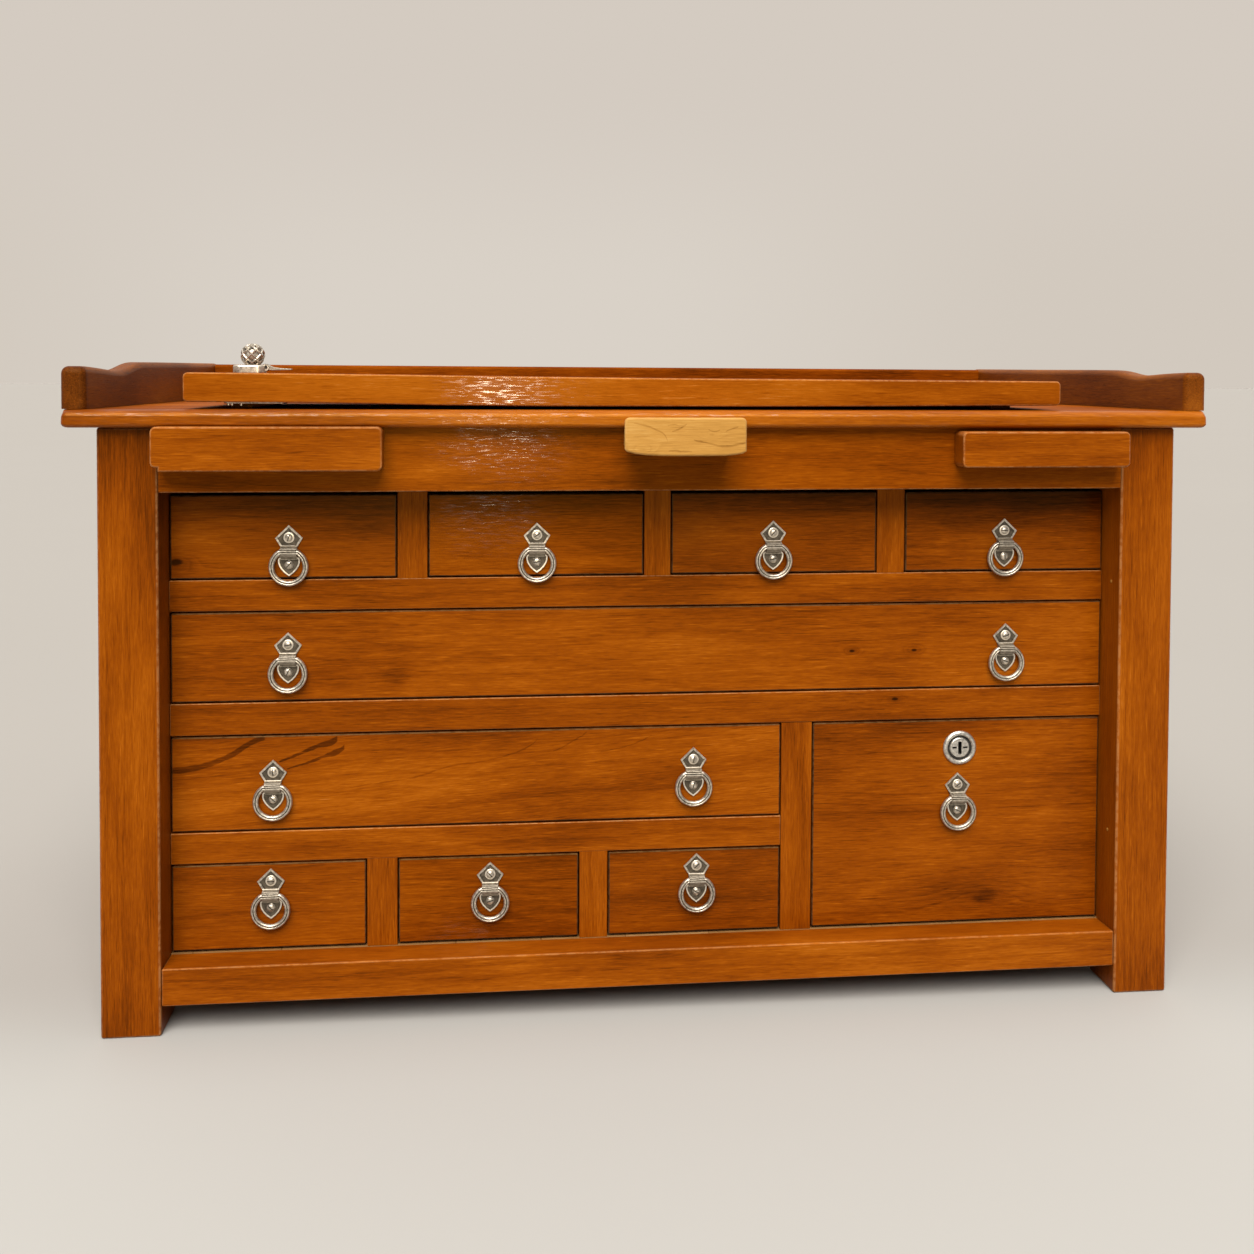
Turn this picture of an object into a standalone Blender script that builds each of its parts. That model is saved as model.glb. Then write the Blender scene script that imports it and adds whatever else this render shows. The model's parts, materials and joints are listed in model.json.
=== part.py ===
"""Jeweller's workbench: a low hardwood bench with ten drawers, ring pulls, two
pull-out arm rests, a bench pin, a gallery round the top and a raised board.

Units are metres, +Z up. X runs along the front, the front faces -Y, and the
floor is z = 0. Drawing dimensions below are in millimetres, measured from the
front face of the legs (y = 0) and the centre line of the front (x = 0).
"""

import math

import bmesh
import bpy
from mathutils import Matrix, Vector

# ---------------------------------------------------------------- dimensions
MM = 0.001
Y_SHIFT = -280.0          # puts the middle of the overall depth on y = 0
GAP = 0.3                 # between pieces that touch

# overall
TOP_HALF = 601.5          # table top, half width
TOP_FRONT, TOP_BACK = -12.0, 630.0
TOP_Z0, TOP_Z1 = 625.4, 643.6
LEG = 60.0
LEG_OUT = 570.0           # outer face of the legs
LEG_IN = LEG_OUT - LEG
REAR_LEG_Y = 560.0

# recessed drawer front
FACE_Y = 42.0             # plane of the drawer fronts and the rails between them
RAIL_T = 22.0             # thickness of those rails
WEB_T = 12.0              # thin panels and partitions behind the rails
WEB_BACK = 587.7
WEB_HALF = 533.7          # panels run on between the legs to the side panels

# heights of the rails between the drawers (bottom, top)
BOTTOM_RAIL = (30.5, 67.4)
LEDGE_FRONT = 69.4        # the bottom rail's top slopes down a little to the drawer fronts
FLOOR_TOP = 69.3
RAIL_3 = (162.0, 195.0)
RAIL_2 = (298.5, 332.5)
RAIL_1 = (429.9, 462.9)
CARCASS_TOP = (555.5, 567.5)
APRON = (558.8, 625.1)

# uprights between the drawers (left, right)
TOP_UPRIGHTS = ((-273.3, -241.8), (-8.9, 19.8), (250.0, 280.9))
SMALL_UPRIGHTS = ((-305.7, -273.7), (-78.3, -47.8))
STILE = (144.1, 178.3)

# drawers: name -> (left, right, panel below, top of front)
DRAWER_FRONT_T = 20.0
DRAWER_BACK_Y = 540.0
DRAWERS = {
    "drawer_top_1": (-508.4, -274.5, RAIL_1[1], 552.4),
    "drawer_top_2": (-240.6, -10.1, RAIL_1[1], 552.4),
    "drawer_top_3": (21.0, 248.8, RAIL_1[1], 552.4),
    "drawer_top_4": (282.1, 509.1, RAIL_1[1], 552.4),
    "drawer_long": (-508.3, 508.8, RAIL_2[1], 428.3),
    "drawer_wide": (-508.6, 143.0, RAIL_3[1], 296.9),
    "drawer_small_1": (-508.6, -306.9, FLOOR_TOP, 160.4),
    "drawer_small_2": (-272.5, -79.5, FLOOR_TOP, 160.4),
    "drawer_small_3": (-46.6, 142.8, FLOOR_TOP, 160.4),
    "drawer_lock": (179.5, 508.6, FLOOR_TOP, 296.9),
}

# ring pulls: name -> (x, height of the ring's pivot)
PULLS = {
    "top_1": (-386.3, 492.0),
    "top_2": (-125.2, 492.7),
    "top_3": (133.0, 493.1),
    "top_4": (394.9, 493.7),
    "long_left": (-387.6, 378.3),
    "long_right": (397.7, 376.2),
    "wide_left": (-403.6, 242.9),
    "wide_right": (46.1, 245.4),
    "small_1": (-406.2, 126.9),
    "small_2": (-174.8, 126.0),
    "small_3": (50.1, 128.0),
    "lock": (344.3, 209.5),
}
RING_R, WIRE_R = 17.7, 2.95
PIVOT_OUT = 5.05          # ring pivot in front of the drawer face
STRAP_HALF = 8.6
PLATE_T = 1.5

# cam lock of the big drawer
LOCK_X, LOCK_Z = 346.4, 266.0
BEZEL_R, CASE_R, PLUG_R = 18.8, 13.0, 11.6
CAM_LENGTH, CAM_W, CAM_Y = 46.0, 14.0, 65.0

# arm rests and bench pin
SLIDE_Z = (595.5, 619.5)
PIN_TONGUE = (-10.0, 50.0, 604.9, 620.9)

# gallery: side rails from this half width out, and their top edge as (depth, height) points
GALLERY_IN, GALLERY_OUT = 579.0, 603.5
WAVE_LEFT = (
    (3.0, 687.0), (20.0, 686.8), (40.0, 686.1), (60.0, 685.3), (80.0, 684.3), (100.0, 683.5), (118.0, 683.0), (135.0, 683.3), (150.0, 684.6),
    (165.0, 686.5), (180.0, 688.7), (195.0, 690.8), (210.0, 692.3), (225.0, 693.0), (280.0, 693.4), (420.0, 694.1), (630.0, 695.0),
)
WAVE_RIGHT = (
    (3.0, 685.5), (30.0, 684.9), (55.0, 684.1), (75.0, 683.1), (92.0, 682.4), (106.0, 682.3), (119.0, 682.9), (132.0, 684.3), (145.0, 686.1),
    (156.0, 687.4), (168.0, 688.3), (184.0, 688.9), (240.0, 689.4), (400.0, 690.2), (630.0, 691.8),
)
GALLERY_BACK_TOP = (693.5, 690.7)     # at its left and right ends

# raised board on the table top, slightly bowed: its underside and top as (x, height) points
BOARD_X = (-487.5, 444.5)
BOARD_Y = (10.0, 270.0)
BOARD_UNDER = (
    (-482.5, 650.9), (-438.0, 650.6), (-365.0, 650.2), (-282.0, 648.9), (-230.0, 648.0), (-127.0, 647.1), (-12.0, 647.0), (113.0, 647.0),
    (240.0, 647.5), (304.0, 648.0), (439.5, 648.8),
)
BOARD_TOP = ((-482.5, 681.3), (-365.0, 680.4), (-262.0, 679.5), (-158.0, 678.4), (-50.0, 677.5), (50.0, 676.8), (208.0, 676.2), (439.5, 675.4))

KNOB_X, KNOB_Y = -426.3, 61.0
KNOB_BALL_R = 12.5

# -------------------------------------------------------------------- colours
WOOD = (0.36, 0.105, 0.012, 1.0)
WOOD_DARK = (0.16, 0.05, 0.01, 1.0)
BEECH = (0.62, 0.36, 0.10, 1.0)
METAL = (0.62, 0.58, 0.52, 1.0)


def clear_scene():
    for obj in list(bpy.data.objects):
        bpy.data.objects.remove(obj, do_unlink=True)


def material(name, colour, metallic, roughness):
    mat = bpy.data.materials.new(name)
    mat.use_nodes = True
    shader = mat.node_tree.nodes["Principled BSDF"]
    shader.inputs["Base Color"].default_value = colour
    shader.inputs["Metallic"].default_value = metallic
    shader.inputs["Roughness"].default_value = roughness
    return mat


def world(x, y, z):
    return Vector((x * MM, (y + Y_SHIFT) * MM, z * MM))


def finish(name, bm, colour=WOOD, metallic=0.0, roughness=0.3, origin=None, recalc=True):
    """Turn a bmesh drawn in millimetres into a named object with its origin on the given point."""
    if recalc:
        bmesh.ops.recalc_face_normals(bm, faces=bm.faces)
    pivot = world(*origin) if origin else Vector((0.0, 0.0, 0.0))
    for vert in bm.verts:
        vert.co = world(*vert.co) - pivot
    mesh = bpy.data.meshes.new(name)
    bm.to_mesh(mesh)
    bm.free()
    obj = bpy.data.objects.new(name, mesh)
    obj.location = pivot
    obj.data.materials.append(material(name, colour, metallic, roughness))
    bpy.context.scene.collection.objects.link(obj)
    return obj


# ------------------------------------------------------------- shape builders
def block(x0, x1, y0, y1, z0, z1):
    bm = bmesh.new()
    bmesh.ops.create_cube(bm, size=1.0)
    for vert in bm.verts:
        vert.co = Vector(
            (
                x0 if vert.co.x < 0 else x1,
                y0 if vert.co.y < 0 else y1,
                z0 if vert.co.z < 0 else z1,
            )
        )
    return bm


def chamfer(bm, width, keep=lambda a, b: True, segments=1):
    """Bevel the sharp edges whose two ends pass the test."""
    edges = [
        edge
        for edge in bm.edges
        if len(edge.link_faces) == 2
        and edge.calc_face_angle(0.0) > math.radians(30)
        and keep(edge.verts[0].co, edge.verts[1].co)
    ]
    bmesh.ops.bevel(
        bm,
        geom=edges,
        offset=width,
        offset_type="OFFSET",
        segments=segments,
        profile=0.5,
        affect="EDGES",
        clamp_overlap=True,
    )
    return bm


def cells(xs, ys, zs, filled):
    """A solid made of the filled boxes of a grid, with faces only on its outside."""
    bm = bmesh.new()
    corner = {}

    def vert(i, j, k):
        if (i, j, k) not in corner:
            corner[(i, j, k)] = bm.verts.new((xs[i], ys[j], zs[k]))
        return corner[(i, j, k)]

    nx, ny, nz = len(xs) - 1, len(ys) - 1, len(zs) - 1

    def solid(i, j, k):
        if not (0 <= i < nx and 0 <= j < ny and 0 <= k < nz):
            return False
        return filled(
            (xs[i] + xs[i + 1]) / 2, (ys[j] + ys[j + 1]) / 2, (zs[k] + zs[k + 1]) / 2
        )

    for i in range(nx):
        for j in range(ny):
            for k in range(nz):
                if not solid(i, j, k):
                    continue
                if not solid(i - 1, j, k):
                    bm.faces.new([vert(i, j, k), vert(i, j, k + 1), vert(i, j + 1, k + 1), vert(i, j + 1, k)])
                if not solid(i + 1, j, k):
                    bm.faces.new([vert(i + 1, j, k), vert(i + 1, j + 1, k), vert(i + 1, j + 1, k + 1), vert(i + 1, j, k + 1)])
                if not solid(i, j - 1, k):
                    bm.faces.new([vert(i, j, k), vert(i + 1, j, k), vert(i + 1, j, k + 1), vert(i, j, k + 1)])
                if not solid(i, j + 1, k):
                    bm.faces.new([vert(i, j + 1, k), vert(i, j + 1, k + 1), vert(i + 1, j + 1, k + 1), vert(i + 1, j + 1, k)])
                if not solid(i, j, k - 1):
                    bm.faces.new([vert(i, j, k), vert(i, j + 1, k), vert(i + 1, j + 1, k), vert(i + 1, j, k)])
                if not solid(i, j, k + 1):
                    bm.faces.new([vert(i, j, k + 1), vert(i + 1, j, k + 1), vert(i + 1, j + 1, k + 1), vert(i, j + 1, k + 1)])
    return bm


def inside(value, span):
    return span[0] < value < span[1]


def prism_y(outline, y0, y1):
    """Extrude an outline of (x, z) points from y0 to y1."""
    bm = bmesh.new()
    front = [bm.verts.new((x, y0, z)) for x, z in outline]
    back = [bm.verts.new((x, y1, z)) for x, z in outline]
    bm.faces.new(front)
    bm.faces.new(list(reversed(back)))
    for i in range(len(outline)):
        j = (i + 1) % len(outline)
        bm.faces.new([front[j], front[i], back[i], back[j]])
    bmesh.ops.recalc_face_normals(bm, faces=bm.faces)
    return bm


def prism_x(outline, x0, x1):
    """Extrude an outline of (y, z) points from x0 to x1."""
    bm = bmesh.new()
    left = [bm.verts.new((x0, y, z)) for y, z in outline]
    right = [bm.verts.new((x1, y, z)) for y, z in outline]
    bm.faces.new(left)
    bm.faces.new(list(reversed(right)))
    for i in range(len(outline)):
        j = (i + 1) % len(outline)
        bm.faces.new([left[j], left[i], right[i], right[j]])
    bmesh.ops.recalc_face_normals(bm, faces=bm.faces)
    return bm


def turned(profile, centre, axis, steps=24):
    """Turn a closed profile of (radius, distance along the axis) points into a solid."""
    bm = bmesh.new()
    rings = []
    for r, a in profile:
        if r < 1e-6:
            rings.append([bm.verts.new((0.0, 0.0, a))])
        else:
            rings.append(
                [
                    bm.verts.new((r * math.cos(2 * math.pi * i / steps), r * math.sin(2 * math.pi * i / steps), a))
                    for i in range(steps)
                ]
            )
    count = len(rings)
    closed = rings[0][0].co.xy.length > 1e-6
    for n in range(count if closed else count - 1):
        a, b = rings[n], rings[(n + 1) % count]
        for i in range(steps):
            j = (i + 1) % steps
            if len(a) == 1:
                bm.faces.new([a[0], b[j], b[i]])
            elif len(b) == 1:
                bm.faces.new([a[i], a[j], b[0]])
            else:
                bm.faces.new([a[i], a[j], b[j], b[i]])
    if axis == "Y":
        bmesh.ops.rotate(bm, verts=bm.verts, cent=(0, 0, 0), matrix=Matrix.Rotation(math.radians(-90), 3, "X"))
    bmesh.ops.translate(bm, verts=bm.verts, vec=Vector(centre))
    bmesh.ops.recalc_face_normals(bm, faces=bm.faces)
    return bm


def rounded(x0, x1, z0, z1, r, steps=4):
    """Outline of a rectangle with round corners; r is one radius or four (lower left, lower right, upper right, upper left)."""
    radii = r if isinstance(r, tuple) else (r, r, r, r)
    corners = (
        (x0 + radii[0], z0 + radii[0], 180, radii[0]),
        (x1 - radii[1], z0 + radii[1], 270, radii[1]),
        (x1 - radii[2], z1 - radii[2], 0, radii[2]),
        (x0 + radii[3], z1 - radii[3], 90, radii[3]),
    )
    points = []
    for cx, cz, start, radius in corners:
        for i in range(steps + 1):
            a = math.radians(start + 90 * i / steps)
            points.append((cx + radius * math.cos(a), cz + radius * math.sin(a)))
    return points


def helper(name, bm):
    """A solid that only feeds a Boolean."""
    obj = finish(name, bm)
    obj.hide_render = True
    obj.display_type = "WIRE"
    return obj


def add_boolean(obj, other, operation):
    modifier = obj.modifiers.new(other.name, "BOOLEAN")
    modifier.operation = operation
    modifier.solver = "EXACT"
    modifier.object = other
    return modifier


# ------------------------------------------------------------------- the frame
def legs():
    for name, x0 in (("left", -LEG_OUT), ("right", LEG_IN)):
        for place, y0 in (("front", 0.0), ("rear", REAR_LEG_Y)):
            bm = block(x0, x0 + LEG, y0, y0 + LEG, 0.0, TOP_Z0 - GAP)
            chamfer(bm, 2.0, keep=lambda a, b: min(a.z, b.z) < 1.0)
            finish(f"leg_{place}_{name}", bm)


def apron():
    left_slot = (-506.0, -289.0)
    right_slot = (329.0, 500.0)
    pin_slot = (PIN_TONGUE[0] - 0.6, PIN_TONGUE[1] + 0.6)
    pin_z = (PIN_TONGUE[2] - 0.6, PIN_TONGUE[3] + 0.6)
    slot_z = (SLIDE_Z[0] - 0.6, SLIDE_Z[1] + 0.6)
    boss = (-30.0, 70.0)

    def filled(x, y, z):
        if inside(x, pin_slot) and inside(z, pin_z):
            return False
        if y > 23.0:
            return inside(x, boss) and z > 590.0
        return not ((inside(x, left_slot) or inside(x, right_slot)) and inside(z, slot_z))

    bm = cells(
        (-LEG_IN + GAP, left_slot[0], left_slot[1], boss[0], pin_slot[0], pin_slot[1], boss[1], right_slot[0], right_slot[1], LEG_IN - GAP),
        (1.0, 23.0, 60.0),
        (APRON[0], 590.0, slot_z[0], pin_z[0], slot_z[1], pin_z[1], APRON[1]),
        filled,
    )
    finish("apron_front", bm)


def bottom_rail():
    y1 = FACE_Y - GAP
    outline = [(1.0, BOTTOM_RAIL[0]), (y1, BOTTOM_RAIL[0]), (y1, BOTTOM_RAIL[1]), (1.0, LEDGE_FRONT)]
    bm = prism_x(outline, -LEG_IN + GAP, LEG_IN - GAP)
    chamfer(bm, 1.5, keep=lambda a, b: a.y < 1.5 and b.y < 1.5)
    finish("bottom_rail_front", bm)


def side_panels():
    """Top and bottom rails with a thinner panel between them."""
    for name, side in (("left", -1), ("right", 1)):
        xs = sorted((side * 534.0, side * 540.0, side * 550.0, side * 558.0))
        bm = cells(
            xs,
            (LEG + GAP, REAR_LEG_Y - GAP),
            (BOTTOM_RAIL[0], BOTTOM_RAIL[1] + 20.0, APRON[0], APRON[1]),
            lambda x, y, z: 540.0 < abs(x) < 550.0 or z < BOTTOM_RAIL[1] + 20.0 or z > APRON[0],
        )
        finish(f"side_panel_{name}", bm)


def back_panel():
    finish("back_panel", block(-LEG_IN + GAP, LEG_IN - GAP, 588.0, 600.0, BOTTOM_RAIL[0], APRON[1]))


# -------------------------------------------- panels and rails between drawers
def web(name, rail, left, right, uprights=(), upright_top=None):
    """A rail with a thin panel behind it that carries the drawers above, and the uprights that stand on it.

    left and right are the panel's ends; an end at a side of the bench runs on between the legs.
    """
    reach_l, reach_r = left < -500.0, right > 500.0
    lo = -WEB_HALF if reach_l else left
    hi = WEB_HALF if reach_r else right
    rail_l = -LEG_IN + GAP if reach_l else left
    rail_r = LEG_IN - GAP if reach_r else right
    panel_z0 = rail[1] - WEB_T
    xs = {lo, hi, rail_l, rail_r}
    thin = []
    for a, b in uprights:
        mid = (a + b) / 2
        thin.append((mid - WEB_T / 2, mid + WEB_T / 2))
        xs.update((a, b, mid - WEB_T / 2, mid + WEB_T / 2))
    zs = {rail[0], panel_z0, rail[1]}
    if uprights:
        zs.add(upright_top)
    ys = (FACE_Y, LEG + GAP, FACE_Y + RAIL_T, REAR_LEG_Y - GAP, WEB_BACK)

    def filled(x, y, z):
        beyond = x < rail_l or x > rail_r
        if z > rail[1]:
            if y < FACE_Y + RAIL_T:
                return any(inside(x, u) for u in uprights)
            return any(inside(x, t) for t in thin)
        if beyond and not inside(y, (LEG + GAP, REAR_LEG_Y - GAP)):
            return False
        if y < FACE_Y + RAIL_T and not beyond:
            return True
        return z > panel_z0

    bm = cells(sorted(xs), ys, sorted(zs), filled)
    finish(name, bm)


def carcass():
    web("upper_web_frame", RAIL_1, -510.0, 510.0, TOP_UPRIGHTS, CARCASS_TOP[0] - GAP)
    web("middle_web", RAIL_2, -510.0, 510.0)
    web("lower_web_frame", RAIL_3, -510.0, STILE[0] - GAP)

    # upright between the left-hand drawers and the lock drawer
    mid = (STILE[0] + STILE[1]) / 2
    z0, z1 = BOTTOM_RAIL[1] + GAP, RAIL_2[0] - GAP
    over = FLOOR_TOP + GAP
    bm = cells(
        (STILE[0], mid - WEB_T / 2, mid + WEB_T / 2, STILE[1]),
        (FACE_Y, FACE_Y + RAIL_T, WEB_BACK),
        (z0, over, z1),
        lambda x, y, z: y < FACE_Y + RAIL_T or (abs(x - mid) < WEB_T / 2 and z > over),
    )
    finish("stile_right", bm)

    # floor of the carcass, level with the bottom rail in front and a little higher under the drawers
    lip = FACE_Y + RAIL_T + GAP

    def floor(x, y, z):
        if z > BOTTOM_RAIL[1] and y < lip:
            return False
        return abs(x) < LEG_IN - GAP or inside(y, (LEG + GAP, REAR_LEG_Y - GAP))

    bm = cells(
        (-WEB_HALF, -LEG_IN + GAP, LEG_IN - GAP, WEB_HALF),
        (FACE_Y, LEG + GAP, lip, REAR_LEG_Y - GAP, WEB_BACK),
        (FLOOR_TOP - WEB_T, BOTTOM_RAIL[1], FLOOR_TOP),
        floor,
    )
    finish("carcass_floor", bm)

    # panel over the top drawers, with the runners that the arm rests slide on
    runners = ((-505.0, -485.0), (-310.0, -290.0), (332.0, 352.0), (477.0, 497.0))
    xs = sorted({-WEB_HALF, -LEG_IN + GAP, LEG_IN - GAP, WEB_HALF} | {v for r in runners for v in r})

    def top(x, y, z):
        if z > CARCASS_TOP[1]:
            return inside(y, (FACE_Y, 420.0)) and any(inside(x, r) for r in runners)
        return abs(x) < LEG_IN - GAP or inside(y, (LEG + GAP, REAR_LEG_Y - GAP))

    bm = cells(
        xs,
        (FACE_Y, LEG + GAP, 420.0, REAR_LEG_Y - GAP, WEB_BACK),
        (CARCASS_TOP[0], CARCASS_TOP[1], SLIDE_Z[0] - GAP),
        top,
    )
    finish("carcass_top", bm)


def small_uprights():
    """The two uprights between the small drawers stand in the frame of the rail over them."""
    z0, z1 = BOTTOM_RAIL[1] + GAP, RAIL_3[0] + 2.0
    host = bpy.data.objects["lower_web_frame"]
    for n, (a, b) in enumerate(SMALL_UPRIGHTS):
        mid = (a + b) / 2
        over = FLOOR_TOP + GAP
        bm = cells(
            (a, mid - WEB_T / 2, mid + WEB_T / 2, b),
            (FACE_Y, FACE_Y + RAIL_T, WEB_BACK),
            (z0, over, z1, RAIL_3[1] - WEB_T + 2.0),
            lambda x, y, z, m=mid: (y < FACE_Y + RAIL_T and (z < z1 or abs(x - m) < WEB_T / 2)) or (y > FACE_Y + RAIL_T and abs(x - m) < WEB_T / 2 and z > over),
        )
        add_boolean(host, helper(f"small_upright_{n + 1}", bm), "UNION")


# ------------------------------------------------------------------ table top
def table_top():
    """Bull-nosed front edge, ends rounded underneath."""
    mid = (TOP_Z0 + TOP_Z1) / 2
    r = (TOP_Z1 - TOP_Z0) / 2
    corner = 9.0
    bm = bmesh.new()
    loops = []
    for step in range(9):
        a = math.radians(-90 + 180 * step / 8)
        z = mid + r * math.sin(a)
        front = r * (1 - math.cos(a))
        side = front if a < 0 else min(front, 0.6)
        left, right, y0 = -TOP_HALF + side, TOP_HALF - side, TOP_FRONT + front
        points = [(left, TOP_BACK)]
        for n in range(4):
            t = math.radians(180 + 90 * n / 3)
            points.append((left + corner + corner * math.cos(t), y0 + corner + corner * math.sin(t)))
        for n in range(4):
            t = math.radians(270 + 90 * n / 3)
            points.append((right - corner + corner * math.cos(t), y0 + corner + corner * math.sin(t)))
        points.append((right, TOP_BACK))
        loops.append([bm.verts.new((x, y, z)) for x, y in points])
    for a, b in zip(loops, loops[1:]):
        for i in range(len(a)):
            j = (i + 1) % len(a)
            bm.faces.new([a[i], a[j], b[j], b[i]])
    bm.faces.new(list(reversed(loops[0])))
    bm.faces.new(loops[-1])
    finish("table_top", bm)


def gallery():
    """Side rails with a rounded horn in front, a dip and a low shoulder along their top edge, and a straight back rail."""
    front, r = -5.0, 8.0
    base = TOP_Z1 + GAP
    for name, x0, x1, wave in (("left", -GALLERY_OUT, -GALLERY_IN, WAVE_LEFT), ("right", GALLERY_IN, GALLERY_OUT, WAVE_RIGHT)):
        top = wave[0][1]
        outline = [(front, base)]
        for n in range(5):
            a = math.radians(180 - 90 * n / 4)
            outline.append((front + r + r * math.cos(a), top - r + r * math.sin(a)))
        outline += wave[1:]
        outline.append((TOP_BACK, base))
        bm = prism_x(outline, x0, x1)
        chamfer(
            bm,
            6.5,
            keep=lambda a, b: abs(a.x - b.x) < 0.01 and max(a.z, b.z) > base + 1.0 and not (a.y > TOP_BACK - 0.1 and b.y > TOP_BACK - 0.1),
            segments=3,
        )
        finish(f"gallery_{name}", bm)
    x0, x1 = -GALLERY_IN + GAP, GALLERY_IN - GAP
    bm = prism_y([(x0, base), (x1, base), (x1, GALLERY_BACK_TOP[1]), (x0, GALLERY_BACK_TOP[0])], 606.0, TOP_BACK)
    chamfer(bm, 5.0, keep=lambda a, b: min(a.z, b.z) > 680.0 and abs(a.x - b.x) > 1.0, segments=3)
    finish("gallery_back", bm)


# -------------------------------------------------------------------- drawers
def drawers():
    for name, (x0, x1, panel, top) in DRAWERS.items():
        bottom = panel + 0.4
        front_z = bottom if panel == FLOOR_TOP else panel + 1.5
        box_top = top - 12.0
        side = 10.0
        a, b = x0 + 2.5, x1 - 2.5
        y_front = FACE_Y + DRAWER_FRONT_T
        y_in = DRAWER_BACK_Y - side

        def filled(x, y, z):
            if y < y_front:
                return z > front_z
            if not inside(x, (a, b)) or z > box_top:
                return False
            hollow = inside(x, (a + side, b - side)) and y < y_in and z > bottom + 6.0
            return not hollow

        bm = cells(
            (x0, a, a + side, b - side, b, x1),
            (FACE_Y, y_front, y_in, DRAWER_BACK_Y),
            sorted({bottom, front_z, bottom + 6.0, box_top, top}),
            filled,
        )
        chamfer(bm, 1.2, keep=lambda p, q: p.y < FACE_Y + 0.01 and q.y < FACE_Y + 0.01)
        obj = finish(name, bm, origin=((x0 + x1) / 2, FACE_Y, (front_z + top) / 2))
        if name == "drawer_lock":
            hole = turned(((0.0, -20.0), (CASE_R + 0.3, -20.0), (CASE_R + 0.3, 20.0), (0.0, 20.0)), (LOCK_X, FACE_Y + 10.0, LOCK_Z), "Y")
            add_boolean(obj, helper("lock_hole", hole), "DIFFERENCE")


# ---------------------------------------------------------------------- pulls
def pull_plate_mesh():
    """Kite-shaped head, a strap folded over the ring and a shield-shaped tip, as one pressed plate.

    Drawn round the ring's pivot, with y = 0 on the pivot.
    """
    back = PIVOT_OUT - GAP
    front = back - PLATE_T
    kite = ((0.0, 28.6), (14.2, 15.0), (8.2, 5.0), (-8.2, 5.0), (-14.2, 15.0))
    shield = (
        (-8.0, -4.6), (-11.4, -7.8), (-10.6, -13.5), (-6.4, -20.4), (0.0, -25.4),
        (6.4, -20.4), (10.6, -13.5), (11.4, -7.8), (8.0, -4.6),
    )
    outer, inner = WIRE_R + 1.9, WIRE_R + 0.4
    strap = [(back, -7.8), (back, 7.0), (front - 0.6, 7.0), (front - 0.6, outer)]
    for n in range(7):
        a = math.radians(90 + 180 * n / 6)
        strap.append((outer * math.cos(a), outer * math.sin(a)))
    strap += [(front - 0.6, -outer), (front - 0.6, -7.8)]
    eye = [(front, inner)]
    for n in range(7):
        a = math.radians(90 + 180 * n / 6)
        eye.append((inner * math.cos(a), inner * math.sin(a)))
    eye.append((front, -inner))
    body = finish("pull_body", prism_y(kite, front, back))
    add_boolean(body, helper("pull_shield", prism_y(shield, front, back)), "UNION")
    add_boolean(body, helper("pull_strap", prism_x(strap, -STRAP_HALF, STRAP_HALF)), "UNION")
    add_boolean(body, helper("pull_eye", prism_x(eye, -STRAP_HALF - 2.0, STRAP_HALF + 2.0)), "DIFFERENCE")
    bpy.context.view_layer.update()
    graph = bpy.context.evaluated_depsgraph_get()
    mesh = bpy.data.meshes.new_from_object(body.evaluated_get(graph))
    # back to the pivot: finish() placed the body in the bench's own coordinates
    mesh.transform(Matrix.Translation(-world(0.0, 0.0, 0.0)))
    for name in ("pull_body", "pull_shield", "pull_strap", "pull_eye"):
        bpy.data.objects.remove(bpy.data.objects[name], do_unlink=True)
    return mesh


def ring_mesh():
    """Round wire ring with a short straight bar inside the strap, drawn round its pivot."""
    bar = STRAP_HALF + 0.9
    drop = math.sqrt(RING_R ** 2 - bar ** 2)
    start = math.atan2(drop, bar)
    path = [Vector((-bar, 0.0, 0.0)), Vector((bar, 0.0, 0.0))]
    steps = 22
    sweep = 2 * math.pi - (math.pi - 2 * start)
    for n in range(1, steps):
        a = start - sweep * n / steps
        path.append(Vector((RING_R * math.cos(a), 0.0, -drop + RING_R * math.sin(a))))
    bm = bmesh.new()
    sides = 8
    loops = []
    count = len(path)
    for n, point in enumerate(path):
        tangent = (path[(n + 1) % count] - path[n - 1]).normalized()
        normal = Vector((0.0, 1.0, 0.0))
        across = tangent.cross(normal)
        loops.append(
            [
                bm.verts.new(
                    (point + WIRE_R * (math.cos(2 * math.pi * k / sides) * across + math.sin(2 * math.pi * k / sides) * normal)) * MM
                )
                for k in range(sides)
            ]
        )
    for n in range(count):
        a, b = loops[n], loops[(n + 1) % count]
        for k in range(sides):
            m = (k + 1) % sides
            bm.faces.new([a[k], a[m], b[m], b[k]])
    bmesh.ops.recalc_face_normals(bm, faces=bm.faces)
    mesh = bpy.data.meshes.new("ring")
    bm.to_mesh(mesh)
    bm.free()
    return mesh


def pulls():
    plate, ring = pull_plate_mesh(), ring_mesh()
    for name, (x, z) in PULLS.items():
        for part, source in (("pull_plate", plate), ("pull_ring", ring)):
            mesh = source.copy()
            mesh.materials.clear()
            mesh.materials.append(material(f"{part}_{name}", METAL, 0.9, 0.35))
            obj = bpy.data.objects.new(f"{part}_{name}", mesh)
            obj.location = world(x, FACE_Y - PIVOT_OUT, z)
            bpy.context.scene.collection.objects.link(obj)


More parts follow.
